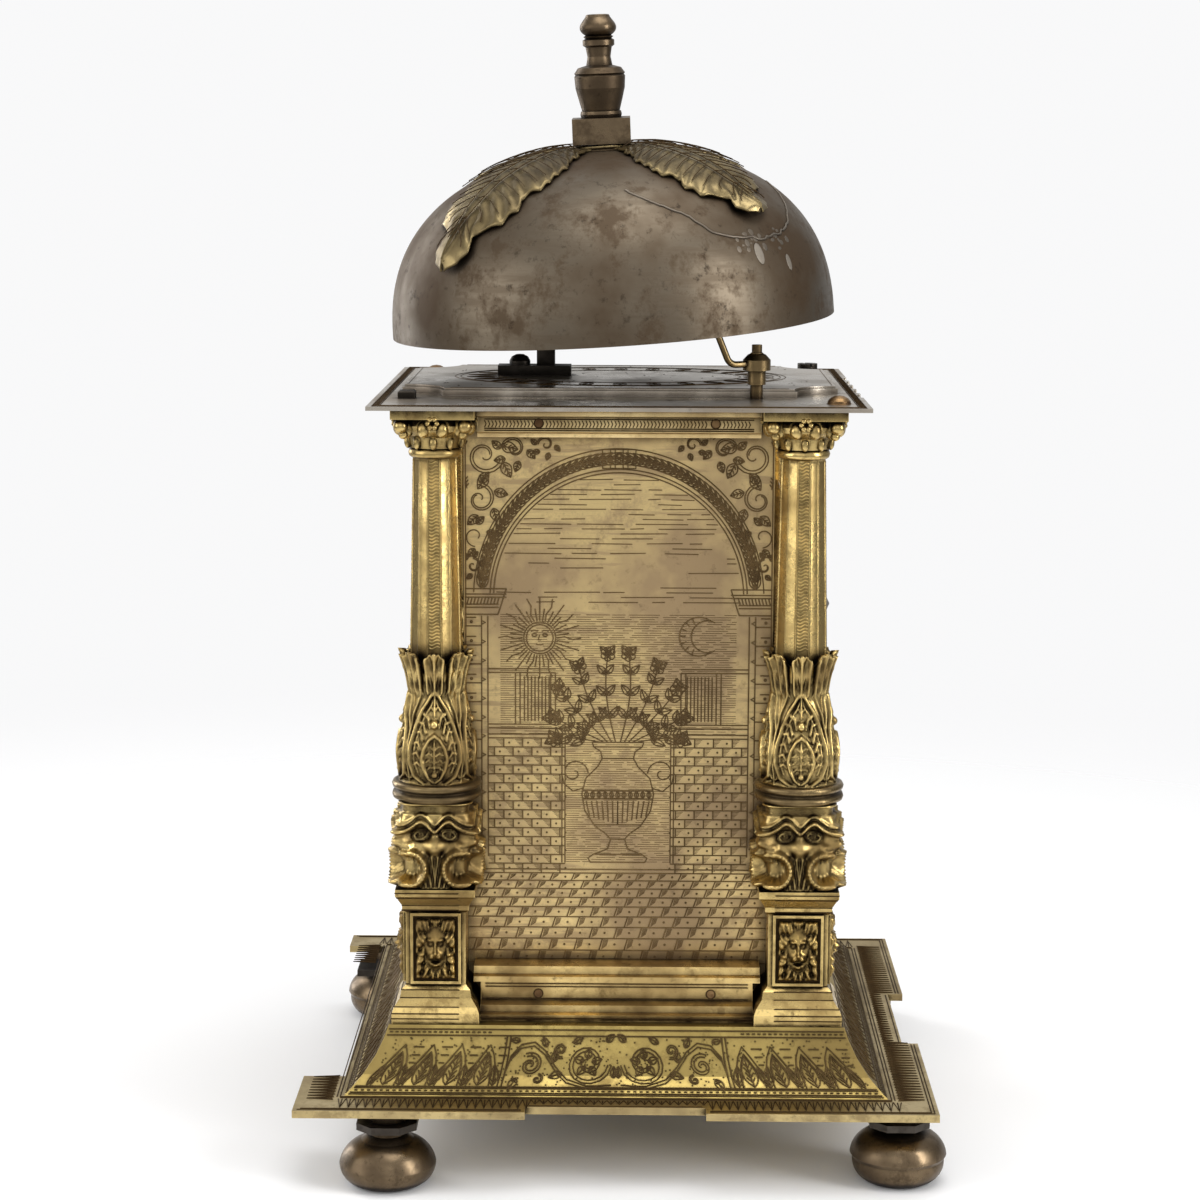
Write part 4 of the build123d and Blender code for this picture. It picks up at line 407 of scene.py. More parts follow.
def addPiece(name, bm, mat, body="case", smooth=True, replaced=()):
    mesh = bpy.data.meshes.new(name)
    bm.to_mesh(mesh)
    bm.free()
    for polygon in mesh.polygons:
        polygon.use_smooth = smooth
    mesh.materials.append(mat)
    piece = bpy.data.objects.new(name, mesh)
    scene.collection.objects.link(piece)
    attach(piece, body)
    if replaced:
        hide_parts(*replaced)
    return piece


def engrave(name, lines, width, mat=groove, body="case", sides=0):
    # Fine lines in millimetres, half sunk in the surface that they follow
    curve = bpy.data.curves.new(name, "CURVE")
    curve.dimensions = "3D"
    curve.bevel_depth = width / 2 * mm
    curve.bevel_resolution = sides
    curve.use_fill_caps = True
    for line in lines:
        if len(line) < 2:
            continue
        spline = curve.splines.new("POLY")
        spline.points.add(len(line) - 1)
        for point, place in zip(spline.points, line):
            point.co = (*(Vector(place) * mm), 1)
    source = bpy.data.objects.new(name + "Path", curve)
    scene.collection.objects.link(source)
    mesh = bpy.data.meshes.new_from_object(source.evaluated_get(bpy.context.evaluated_depsgraph_get()))
    bpy.data.objects.remove(source)
    bm = bmesh.new()
    bm.from_mesh(mesh)
    bpy.data.meshes.remove(mesh)
    return addPiece(name, bm, mat, body)


sides = {"left": Vector((-1, 0, 0)), "front": Vector((0, -1, 0)), "right": Vector((1, 0, 0)),
         "back": Vector((0, 1, 0))}


def along(out):
    # The way to the right of somebody who looks at that side
    return Vector((-out.y, out.x, 0))


def onFace(out, depth, lines):
    # Lines drawn as (right, up) on an upright face
    return [[out * depth + along(out) * u + Vector((0, 0, z)) for u, z in line] for line in lines]


def arc(cu, cv, ru, rv, start, end, steps=24):
    return [(cu + ru * math.cos(math.radians(start + (end - start) * i / steps)),
             cv + rv * math.sin(math.radians(start + (end - start) * i / steps))) for i in range(steps + 1)]


def circle(u, v, r, steps=24):
    return arc(u, v, r, r, 0, 360, steps)


def onCircle(u, v, r, degrees):
    # The place on a circle at a bearing
    return u + r * math.cos(math.radians(degrees)), v + r * math.sin(math.radians(degrees))


def mirrored(lines, hand):
    # The same lines for a hand of 1, flipped left to right for -1
    return [[(hand * u, v) for u, v in line] for line in lines]


def volute(cu, cv, radius, start, turns, hand=1, steps=26, inner=0.12):
    # A spiral that starts at its rim and winds inwards
    points = []
    for i in range(steps + 1):
        t = i / steps
        r = radius * (1 - (1 - inner) * t)
        a = math.radians(start) + hand * turns * 2 * math.pi * t
        points.append((cu + r * math.cos(a), cv + r * math.sin(a)))
    return points


def leafLines(u, v, length, width, angle, veins=3):
    # A pointed leaf outline with a midrib and a few veins
    ca, sa = math.cos(math.radians(angle)), math.sin(math.radians(angle))

    def turned(a, b):
        return (u + a * ca - b * sa, v + a * sa + b * ca)

    lines = []
    for hand in (-1, 1):
        lines.append([turned(length * t, hand * width / 2 * math.sin(math.pi * t ** 0.8)) for t in
                      (0, 0.12, 0.25, 0.4, 0.55, 0.7, 0.85, 1)])
        for i in range(veins):
            t = 0.25 + 0.5 * i / max(1, veins - 1)
            lines.append([turned(length * (t - 0.1), 0), turned(length * (t + 0.08), hand * width * 0.28)])
    lines.append([turned(0, 0), turned(length * 0.9, 0)])
    return lines


def scrollBand(low, high, v, height, count):
    # A running vine: volutes that open alternately up and down, with a leaf at each turn and a bud inside
    lines = []
    step = (high - low) / count
    for i in range(count):
        cu = low + step * (i + 0.5)
        hand = 1 if i % 2 == 0 else -1
        r = min(step, height) * 0.47
        lines.append(volute(cu, v, r, 180, 1.45, -hand))
        lines.append(volute(cu, v, r * 0.86, 180, 1.1, -hand, inner=0.3))
        for k in range(5):
            lines.append(circle(*onCircle(cu, v, r * 0.2, 72 * k + 20), r * 0.13, 8))
        for a in (60, 120, 240, 300):
            lines += leafLines(*onCircle(cu, v, r * 0.92, a), r * 0.45, r * 0.26, a + 25 * hand, 1)
    return lines


# Engraved panels

panel = {"half": 39.2, "low": 49.0, "high": 184.8, "margin": 0.4, "proud": 0.02, "line": 0.30, "fine": 0.2,
         "hatch": 0.13, "archCentre": 143.4, "archOuter": (36.8, 38.0), "archInner": (32.6, 32.8),
         "rimGap": 0.9, "laurels": 30, "laurelStep": 2.8, "laurelLeaf": (3.6, 1.4), "niche": (13.5, 14.3),
         "nicheEnds": (74.4, 107.6), "sun": (20.0, 133.0, 3.4, 10.5), "moon": (20.5, 133.5, 5.0)}


def laurelArch():
    # Three rims, overlapping laurel leaves between the outer two, and a clasp at the crown
    centre, outer, inner = panel["archCentre"], panel["archOuter"], panel["archInner"]
    lowest = [r - panel["rimGap"] for r in inner]
    lines = [arc(0, centre, *radii, 2, 178, 60) for radii in (outer, inner, lowest)]
    ru, rv = (outer[0] + inner[0]) / 2, (outer[1] + inner[1]) / 2
    for i in range(panel["laurels"]):
        for hand in (-1, 1):
            a = 90 + hand * (5 + i * panel["laurelStep"])
            u, v = ru * math.cos(math.radians(a)), centre + rv * math.sin(math.radians(a))
            for lean in (-24, 0, 24):
                lines += leafLines(u, v, *panel["laurelLeaf"], a - hand * 90 + lean, 0)
    v = centre + rv
    for u, w in ((-2.6, 1.6), (2.6, 1.6), (0, 2.2)):
        low, high = v - 2.4, v + 2.4
        lines.append([(u - w, low), (u + w, low), (u + w, high), (u - w, high), (u - w, low)])
    lines.append(circle(0, v, 1.2, 12))
    return lines


# Volutes between the arch and the panel's corner: place, radius, start in degrees and turns
spandrelVolutes = ((34, 179.5, 5.0, 200, 1.3), (26.5, 181.3, 3.4, 0, 1.2), (35.2, 168.5, 4.2, 90, 1.3),
                   (36.4, 159.0, 3.2, 270, 1.2), (18.5, 182.4, 2.3, 0, 1.1), (36.9, 151.5, 2.2, 90, 1.1))


def spandrels():
    # Scrolling foliage outside the arch
    lines = []
    for hand in (-1, 1):
        for u, v, r, start, turns in spandrelVolutes:
            scroll = [volute(u, v, r, start, turns), volute(u, v, r * 0.82, start, turns * 0.7, inner=0.35)]
            for k in range(6):
                a = start + 62 * k
                scroll += leafLines(*onCircle(u, v, r, a), r * 0.85, r * 0.55, a + 42, 3)
            lines += mirrored(scroll, hand)
    edge, top = panel["half"] - 0.3, panel["high"] - 0.2
    return [line for line in lines if all(abs(u) < edge and v < top for u, v in line)]


wall = {"edge": 39, "imposts": (145.6, 144.2, 143.4, 141.6, 140.8, 139.0), "impostEnds": (28.5, 30.5),
        "teeth": 10, "pilaster": 34.8, "pilasterLine": 33.2, "quoinTop": 136, "quoins": 13, "quoin": 4.9,
        "brickTop": 107, "courses": 15, "course": 2.35, "brickStart": 14.8, "brick": 4.8, "brickEnd": 33.1,
        "ledge": 108, "sills": (109.6, 110.6, 124.0, 125.0), "jambs": (16.0, 17.2, 25.0, 26.2), "bars": 8,
        "floorTop": 71.6, "floorEnd": 50.5, "tile": 5.5, "tileGrowth": 0.14, "tileRow": 2.0, "rowGrowth": 0.16}


def masonry():
    # Imposts, brick pilasters, walls with ledges and a slanted tile floor, and the fine shading of the tiles
    lines, shade = [], []
    edge, pilaster, brickEnd, niche = wall["edge"], wall["pilaster"], wall["brickEnd"], panel["niche"][0]
    for hand in (-1, 1):
        high, low = wall["impostEnds"]
        for v in wall["imposts"]:
            lines.append([(hand * edge, v), (hand * (high if v > 143 else low), v)])
        lines.append([(hand * 28.5, 145.6), (hand * 29.5, 142.4), (hand * 30.6, 139.0)])
        for k in range(wall["teeth"]):
            lines.append([(hand * (30.4 + 0.85 * k), 143.2), (hand * (30.8 + 0.85 * k), 141.7)])
        lines.append([(hand * pilaster, 138.6), (hand * pilaster, 74.5)])
        lines.append([(hand * wall["pilasterLine"], 138.6), (hand * wall["pilasterLine"], 76.0)])
        for row in range(wall["quoins"]):
            v = wall["quoinTop"] - wall["quoin"] * row
            lines.append([(hand * edge, v), (hand * pilaster, v)])
            lines.append([(hand * 38.6, v + 2.2), (hand * 36.2, v + 2.2)])
            lines.append(circle(hand * 37.4, v + 1.1, 0.28, 6))
            joint = ((pilaster, v + 0.4), (pilaster - 1, v + 0.9), (pilaster, v + 1.4))
            lines.append([(hand * x, y) for x, y in joint])
        for row in range(wall["courses"]):
            v = wall["brickTop"] - wall["course"] * row
            lines.append([(hand * brickEnd, v), (hand * niche, v)])
            for k in range(5):
                u = wall["brickStart"] + wall["brick"] * k + (wall["brick"] / 2 if row % 2 else 0)
                if u >= 33:
                    continue
                lines.append([(hand * u, v), (hand * u, v - wall["course"])])
                lines.append(circle(hand * (u - 1.4), v - 1.2, 0.14, 5))
                for m in range(5):
                    level = v - 0.4 - 0.36 * m
                    shade.append([(hand * (u + 0.2), level), (hand * min(33, u + 1.9 - 0.3 * m), level)])
        lines.append([(hand * niche, wall["ledge"]), (hand * brickEnd, wall["ledge"])])
        for v in wall["sills"]:
            lines.append([(hand * wall["jambs"][0], v), (hand * brickEnd, v)])
        for u in wall["jambs"]:
            lines.append([(hand * u, wall["sills"][1]), (hand * u, wall["sills"][2])])
        for k in range(wall["bars"]):
            lines.append([(hand * (17.6 + 0.9 * k), 111.5), (hand * (17.6 + 0.9 * k), 123)])
    for v in (wall["floorTop"] + 1, wall["floorTop"]):
        lines.append([(-edge, v), (edge, v)])
    row, v = 0, wall["floorTop"]
    while v > wall["floorEnd"]:
        drop, wide = wall["tileRow"] + wall["rowGrowth"] * row, wall["tile"] + wall["tileGrowth"] * row
        lines.append([(-38.8, v - drop), (38.8, v - drop)])
        for k in range(-8, 9):
            u = k * wide + (2.7 if row % 2 else 0)
            if abs(u) < 37.6:
                lines.append([(u, v), (u - 0.9, v - drop)])
                lines.append(circle(u + 3.1, v - drop / 2, 0.16, 5))
                for m in range(6):
                    start = u + 0.3 + 0.23 * m
                    shade.append([(start, v - 0.25), (start - 0.5, v - drop + 0.3 + 0.16 * m)])
        v -= drop
        row += 1
    return lines, shade


vase = {"profile": ((7.0, 74.5), (7.6, 75.6), (6.2, 76.6), (2.6, 78.0), (1.8, 80.6), (3.0, 82.0), (5.8, 84.0),
                    (8.4, 88.0), (9.2, 92.5), (8.2, 96.6), (5.2, 99.6), (4.0, 101.8), (4.4, 103.6),
                    (6.2, 104.8), (6.6, 106.0)),
        "handle": ((8.8, 94), (11.5, 93.2), (13.8, 95.2), (14.4, 98)), "mouth": 106,
        "bands": ((74.5, 7.0), (76.6, 6.2), (80.6, 1.8), (84.4, 6.0), (91.2, 9.1), (93.4, 9.1), (101.8, 4.0),
                  (104.8, 6.2), (106, 6.6)),
        "stems": ((86, 26, 0.6), (70, 24, 1.6), (54, 21, 2.6), (36, 16, 3.6), (18, 12, 4.6))}


def leafyStem(angle, length, root, hand):
    # A bent stem with leaves in pairs and a flower of small rings at its end
    ca, sa = math.cos(math.radians(angle)), math.sin(math.radians(angle))
    stem = []
    for t in (i / 8 for i in range(9)):
        stem.append((hand * (root + length * t * ca + 1.5 * math.sin(3 * t)),
                     vase["mouth"] + length * t * sa - 3 * t * t))
    lines = [stem]
    for i in (2, 4, 6, 8):
        u, v = stem[i]
        for lean in (-42, 42):
            lines += mirrored(leafLines(abs(u), v, 4.4 - 0.2 * i, 1.7, angle + lean, 1), hand)
    for k in range(6):
        lines.append(circle(*onCircle(*stem[-1], 1.1, 60 * k + angle), 0.8, 8))
    lines.append(circle(*stem[-1], 0.6, 8))
    return lines


def vaseOfLeaves():
    # A footed vase with handles and a fan of foliage: the middle motif of each engraved side
    lines = []
    for hand in (-1, 1):
        lines += mirrored([vase["profile"]], hand)
        lines.append(volute(hand * 11.2, 98.0, 3.6, 180 if hand > 0 else 0, 1.2, -hand))
        lines += mirrored([vase["handle"]], hand)
        for u in (1.2 * k for k in range(7)):
            lines.append([(hand * u, 84.6 + 0.28 * u), (hand * (u * 1.12), 90.6)])
        for angle, length, root in vase["stems"]:
            lines += leafyStem(angle, length, root, hand)
    lines += [[(-w, v), (w, v)] for v, w in vase["bands"]]
    for k in range(-5, 6):
        lines += leafLines(1.6 * k, 91.4, 1.9, 1.0, 90, 0)
    return lines


def radiantSun(u, v, radius, reach):
    # A calm sun disc with straight and waved rays
    lines = [circle(u, v, radius, 28), circle(u, v, radius * 1.2, 28)]
    for k in range(40):
        a = math.radians(9 * k)
        far = reach if k % 2 == 0 else reach * 0.72
        if k % 4 == 0:
            lines.append([(u + r * math.cos(a + s), v + r * math.sin(a + s)) for r, s in
                          ((radius * 1.3, 0), (reach * 0.6, 0.05), (reach * 0.8, -0.05), (far, 0))])
        else:
            lines.append([(u + radius * 1.3 * math.cos(a), v + radius * 1.3 * math.sin(a)),
                          (u + far * math.cos(a), v + far * math.sin(a))])
    for hand in (-1, 1):
        side = u + hand * radius * 0.4
        lines.append(arc(side, v + radius * 0.22, radius * 0.2, radius * 0.1, 0, 360, 8))
        lines.append(arc(side, v + radius * 0.45, radius * 0.26, radius * 0.12, 20, 160, 6))
    low = v - radius * 0.15
    lines.append([(u, v + radius * 0.25), (u - radius * 0.12, low), (u + radius * 0.1, low)])
    lines.append(arc(u, v - radius * 0.42, radius * 0.28, radius * 0.1, 190, 350, 8))
    return lines


def crescent(u, v, radius):
    inner = radius * 0.82
    lines = [arc(u, v, radius, radius, 50, 310, 24), arc(u + radius * 0.42, v, inner, inner, 62, 298, 20)]
    for k in range(7):
        lines.append([onCircle(u, v, radius * share, 110 + 23 * k) for share in (0.95, 0.7)])
    return lines


airLines = {"top": 173.5, "rows": 26, "step": 1.25, "reach": 31.0, "rise": 31.8, "lengths": (3, 15),
            "gaps": (0.8, 5)}
wallLines = {"top": 139.0, "rows": 112, "step": 0.58, "reach": 30.0, "lengths": (2, 9), "gaps": (0.4, 2.5)}


def sky():
    # Broken level lines under the arch
    lines = []
    for row in range(airLines["rows"]):
        v = airLines["top"] - airLines["step"] * row
        reach = math.sqrt(max(0, 1 - ((v - panel["archCentre"]) / airLines["rise"]) ** 2)) * airLines["reach"]
        u = -reach
        while u < reach - 1:
            length = random.uniform(*airLines["lengths"])
            if random.random() < (0.72 if row < 14 else 0.4):
                lines.append([(u, v), (min(reach, u + length), v + random.uniform(-0.15, 0.15))])
            u += length + random.uniform(*airLines["gaps"])
    return lines


def shading():
    # Close level hatching behind the middle motif, narrower inside the niche
    lines = []
    for row in range(wallLines["rows"]):
        v = wallLines["top"] - wallLines["step"] * row
        end = wallLines["reach"] if v > wall["ledge"] else panel["niche"][0] - 0.3
        u = -end
        while u < end - 1:
            length = random.uniform(*wallLines["lengths"])
            lines.append([(u, v), (min(end, u + length), v)])
            u += length + random.uniform(*wallLines["gaps"])
    return lines


def addPanels():
    depth = panel["half"] + panel["proud"]
    edge = panel["half"] - panel["margin"]
    ends = (panel["low"] + panel["margin"], panel["high"] - panel["margin"])
    border = [[(u, v) for v in ends] for u in (-edge, edge)]
    for reach in panel["niche"]:
        border += [[(u, v) for v in panel["nicheEnds"]] for u in (-reach, reach)]
    for name in ("left", "right", "back"):
        out = sides[name]
        hand = -1 if name == "right" else 1
        walls, shade = masonry()
        strong = laurelArch() + spandrels() + walls + vaseOfLeaves() + border
        strong += radiantSun(-hand * panel["sun"][0], *panel["sun"][1:])
        strong += crescent(hand * panel["moon"][0], *panel["moon"][1:])
        engrave(f"{name}Engraving", onFace(out, depth, strong), panel["line"], panelLine)
        engrave(f"{name}Sky", onFace(out, depth, sky()), panel["fine"], faintGroove)
        fine = onFace(out, depth - 0.02, shading() + shade)
        engrave(f"{name}Shading", fine, panel["hatch"], faintGroove)


addPanels()
print("engraved panels done")


# Dial

dial = {"height": 136.0, "recess": 41.82, "plate": 39.22, "numerals": 27, "numeralSize": 2.5, "leaves": 25.4,
        "marks": (22.9, 23.9), "rims": ((24.0, 60), (30.4, 72)), "sun": (5.6, 19.0), "sunHole": 5,
        "scrolls": ((33.0, 2.6, 4.4, 200), (25.0, 3.8, 3.0, 20), (34.6, -6.8, 3.2, 90)),
        "scrollLevels": ((96.0, -1), (176.5, 1)), "rosette": 72, "rosetteRings": (9.0, 9.9, 3.0),
        "vines": ((12, 62, 13), (14, 82, 12)), "levels": (51.5, 52.6, 183.0),
        "windingHole": (16.12, 72.0, 3.2)}


def numeralLines(text, size):
    # Plain Roman strokes, centred on the origin and upright
    glyphs = {"I": ([((0, -1), (0, 1))], 0.55), "V": ([((-0.55, 1), (0, -1)), ((0, -1), (0.55, 1))], 1.25),
              "X": ([((-0.55, -1), (0.55, 1)), ((-0.55, 1), (0.55, -1))], 1.25)}
    width = sum(glyphs[c][1] for c in text)
    x, lines = -width / 2, []
    for c in text:
        strokes, w = glyphs[c]
        for a, b in strokes:
            lines.append([((x + w / 2 + a[0]) * size, a[1] * size), ((x + w / 2 + b[0]) * size, b[1] * size)])
        x += w
    return lines


def addDial():
    numerals, fine = [], []
    high = dial["height"]
    names = ["XII", "I", "II", "III", "IIII", "V", "VI", "VII", "VIII", "IX", "X", "XI"]
    for hour, text in enumerate(names):
        bearing = 90 - 30 * hour
        cu, cv = onCircle(0, high, dial["numerals"], bearing)
        turn = math.radians(bearing - 90)
        ct, st = math.cos(turn), math.sin(turn)
        for line in numeralLines(text, dial["numeralSize"]):
            numerals.append([(cu + x * ct - y * st, cv + x * st + y * ct) for x, y in line])
        fine += leafLines(*onCircle(0, high, dial["leaves"], bearing - 15), 3.4, 1.5, bearing - 15, 0)
    for k in range(48):
        fine.append([onCircle(0, high, r, 7.5 * k) for r in dial["marks"]])
    fine += [circle(0, high, r, steps) for r, steps in dial["rims"]]
    engrave("dialNumerals", onFace(sides["front"], dial["recess"], numerals), 0.75, groove)
    engrave("dialMarks", onFace(sides["front"], dial["recess"], fine), 0.28, groove)
    plate = radiantSun(0, high, *dial["sun"])
    plate = [line for line in plate if all(math.hypot(u, v - high) > dial["sunHole"] for u, v in line)]
    for hand in (-1, 1):
        for level, way in dial["scrollLevels"]:
            for u, dv, r, start in dial["scrolls"]:
                v = level + way * dv
                scroll = [volute(u, v, r, start, 1.3, way)]
                for a in (start + 85 * k for k in range(4)):
                    scroll += leafLines(*onCircle(u, v, r, a), r * 0.6, r * 0.34, a + 40, 1)
                plate += mirrored(scroll, hand)
    # Below the chapter ring: a rosette between scrolls
    plate += [circle(0, dial["rosette"], r, 48) for r in dial["rosetteRings"]]
    for a in range(0, 360, 30):
        plate += leafLines(*onCircle(0, dial["rosette"], 3.2, a), 5.4, 2.4, a, 2)
    for start, level, tall in dial["vines"]:
        plate += scrollBand(-38, -start, level, tall, 2) + scrollBand(start, 38, level, tall, 2)
    plate += [[(-38.6, v), (38.6, v)] for v in dial["levels"]]
    edge, low, top = panel["half"] - 0.3, panel["low"] + 0.4, panel["high"] - 0.3
    plate = [line for line in plate if all(abs(u) < edge and low < v < top for u, v in line)]
    hu, hv, clear = dial["windingHole"]
    plate = [line for line in plate if all(math.hypot(u - hu, v - hv) > clear for u, v in line)]
    engrave("dialPlateEngraving", onFace(sides["front"], dial["plate"], plate), 0.3, groove)


addDial()
print("dial done")


# Base: engraving on the slope, the flange and the mouldings

slope = {"foot": 68.1, "top": 57.7, "low": 21.3, "rise": 15.3, "length": 18.5, "middle": 63.0, "proud": 0.03,
         "shares": ((0, 0), (0.12, 0.07), (0.42, 0.27), (0.70, 0.53), (0.90, 0.80), (1, 1)), "line": 0.36,
         "half": 62.4, "levels": (0.5, 1.0, 2.3, 2.7, 15.9, 17.4), "dots": 1.5, "specks": 420,
         "archStart": 33.5, "archStep": 7.6, "arches": (((3.7, 3.0), (3.2, 7.2), (1.6, 11.0), (0, 13.6)),
                                                        ((2.8, 3.0), (2.3, 6.8), (1.1, 9.8), (0, 11.8)))}


def onSlope(out, u, s):
    # A point on the slope: u along the side, s from 0 at the foot to 1 at the top
    run = slope["foot"] - slope["top"]
    levels = [(slope["foot"] - a * run, slope["low"] + b * slope["rise"]) for a, b in slope["shares"]]
    lengths = [math.hypot(b[0] - a[0], b[1] - a[1]) for a, b in zip(levels, levels[1:])]
    far = s * sum(lengths)
    half, z = levels[-1]
    for (a, b), length in zip(zip(levels, levels[1:]), lengths):
        if far <= length + 1e-9:
            t = far / length
            half, z = a[0] + (b[0] - a[0]) * t, a[1] + (b[1] - a[1]) * t + 0.02
            break
        far -= length
    return out * (half + slope["proud"]) + along(out) * u * half / slope["middle"] + Vector((0, 0, z))


def drape(out, lines):
    # Splits long runs so that a line follows the slope's bends. Heights are in millimetres up the slope.
    result = []
    for line in lines:
        points = []
        for (u1, v1), (u2, v2) in zip(line, line[1:]):
            parts = max(1, min(6, int(abs(v2 - v1) / 1.5)))
            for t in (i / parts for i in range(parts)):
                points.append((u1 + (u2 - u1) * t, v1 + (v2 - v1) * t))
        points.append(line[-1])
        result.append([onSlope(out, u, min(1, max(0, v / slope["length"]))) for u, v in points])
    return result


def slopeBorder(dotsFrom=-1):
    # Lines along the foot and the top, with a row of dots at each
    lines = [[(-slope["half"], v), (slope["half"], v)] for v in slope["levels"]]
    for k in range(-41, 42):
        u = slope["dots"] * k
        lines.append([(u - 0.35, 1.65), (u + 0.35, 1.65)])
        if abs(u) > dotsFrom:
            lines.append([(u - 0.4, 16.7), (u + 0.4, 16.7)])
    return lines


# The vine in the middle of a side: a great scroll, its stem, small volutes and leaves
vine = {"centre": (7.3, 9.2), "scrolls": ((6.1, 185, 1.75), (5.2, 185, 1.45)), "stemGap": 0.95,
        "stem": ((12.2, 4.0), (15.6, 7.4), (18.6, 11.2), (21.8, 13.4), (25.2, 12.8), (27.4, 10.0)),
        "volutes": ((22.0, 8.6, 3.3, 60, 1.5), (14.6, 12.4, 2.2, 250, 1.4), (19.4, 4.9, 1.5, 90, 1.3)),
        "leaves": ((13.6, 6.6, 3.4, 2.0, -20), (16.2, 9.4, 3.2, 1.8, 100), (24.6, 5.2, 3.4, 2.0, -70),
                   (11.4, 14.2, 3.0, 1.6, 150), (18.4, 13.2, 2.8, 1.5, 60), (25.8, 14.6, 2.6, 1.4, 10),
                   (2.6, 14.6, 2.8, 1.7, 140), (0.6, 5.4, 3.0, 1.5, 90))}


def halfVine():
    lines = [volute(*vine["centre"], r, start, turns) for r, start, turns in vine["scrolls"]]
    for a in (72 * k + 20 for k in range(5)):
        lines += leafLines(*onCircle(*vine["centre"], 1.1, a), 2.7, 1.9, a, 1)
    for lift in (0, vine["stemGap"]):
        root = [(1.2 + lift, 3.4), (3.4 + lift, 3.2), (7.3, 2.5 + 0.7 * lift)]
        lines.append(root + [(u, v + lift) for u, v in vine["stem"]] + [(27.9, 6.6)])
    for u, v, r, start, turns in vine["volutes"]:
        lines += [volute(u, v, r, start, turns), volute(u, v, r * 0.76, start, turns * 0.8)]
    for u, v, long, wide, a in vine["leaves"]:
        lines += leafLines(u, v, long, wide, a, 2)
    return lines


def slopePattern():
    # The vine between two rows of pointed leaf arches, on a field of short strokes
    lines = slopeBorder(34)
    for hand in (-1, 1):
        lines += mirrored(halfVine(), hand)
    for hand in (-1, 1):
        for k in range(4):
            cu = hand * (slope["archStart"] + slope["archStep"] * k)
            for arch in slope["arches"]:
                lines.append([(cu - a, v) for a, v in arch] + [(cu + a, v) for a, v in arch[-2::-1]])
            lines += leafLines(cu, 3.2, 7.8, 3.6, 90, 4)
            lines += leafLines(cu - 3.7, 3.2, 5.6, 2.0, 78, 2) + leafLines(cu + 3.7, 3.2, 5.6, 2.0, 102, 2)
            for m in range(5):
                lines.append([(cu + 3.8 + side * 0.35 * m, 5 + 2.0 * m) for side in (-1, 1)])
        for u in (28.6, 27.6):
            lines.append([(hand * u, 2.9), (hand * (u + 1), 15.8)])
    for _ in range(slope["specks"]):
        u, v = random.uniform(-61, 61), random.uniform(3.2, 15.4)
        lines.append([(u, v), (u + 0.28, v)])
    return lines


def leafRowPattern():
    # Long slanted leaves for the dial side and its opposite
    lines = slopeBorder()
    for k in range(-9, 10):
        u = 6.4 * k
        hand = 1 if u >= 0 else -1
        lines += leafLines(u, 3.2, 12.6, 4.4, 90 - 16 * hand if k else 90, 5)
        lines += leafLines(u + 3.2, 3.2, 7.5, 2.4, 90, 3)
    return lines


# The flange's middle lobe is shorter than its corners, and the back has corners only
flange = {"inner": (69.0, 69.8), "outer": (78.0, 78.8), "middle": (21.5, 75.0), "cornerFrom": 23.4,
          "top": 21.33, "tooth": 2.1, "teeth": 33, "lobe": 21.8, "lobeDepth": 74.8, "depth": 78.4,
          "backFrom": 52, "line": 0.3}


def flangeBand(name):
    flat = [[(-69, v), (69, v)] for v in flange["inner"]]
    for u in (flange["tooth"] * k for k in range(-flange["teeth"], flange["teeth"] + 1)):
        if name == "back" and abs(u) < flange["backFrom"]:
            continue
        depth = flange["lobeDepth"] if (name != "back" and abs(u) < flange["lobe"]) else flange["depth"]
        flat.append([(u, 70.6), (u + 0.95, depth - 1.2), (u + 1.9, 70.6)])
        flat.append([(u + 0.95, 70.8), (u + 0.95, depth - 2.4)])
    if name != "back":
        start, (half, depth) = flange["cornerFrom"], flange["middle"]
        for v in flange["outer"]:
            flat += [[(-v, v), (-start, v)], [(start, v), (v, v)]]
        flat += [[(-half, depth), (half, depth)]]
    return flat


def addBaseEngraving():
    lines = []
    for name, out in sides.items():
        lines += drape(out, slopePattern() if name in ("left", "right") else leafRowPattern())
    engrave("slopeEngraving", lines, slope["line"], slopeLine)
    lines = []
    for name, out in sides.items():
        lines += [[out * v + along(out) * u + Vector((0, 0, flange["top"])) for u, v in line]
                  for line in flangeBand(name)]
    engrave("flangeEngraving", lines, flange["line"], groove)


addBaseEngraving()


# Depth, height of the filled rivets and heights of the lines, for the lower and the upper moulding
mouldings = {"bands": ((49.6, 42.6, (41.3, 44.4, 45.2)), (47.2, 188.5, (186.7, 187.2, 189.5))), "proud": 0.02,
             "half": 33.5, "rivets": (24, -20), "rivetRing": 1.15, "step": (54.02, 42, 37.4), "line": 0.3,
             "frieze": 47.21, "mark": 0.9, "marks": 74, "clear": 1.5, "friezeLine": 0.24}
# Fine steps of the pedestals: height and half width of each line
pedestal = {"axis": 45.9, "case": 40.0, "line": 0.34,
            "rings": ((37.9, 11.1), (39.2, 11.1), (40.8, 10.5), (42.8, 9.05), (44.8, 8.75), (46.0, 7.6),
                      (65.6, 8.45), (66.8, 8.45), (69.0, 9.7), (70.3, 10.1))}


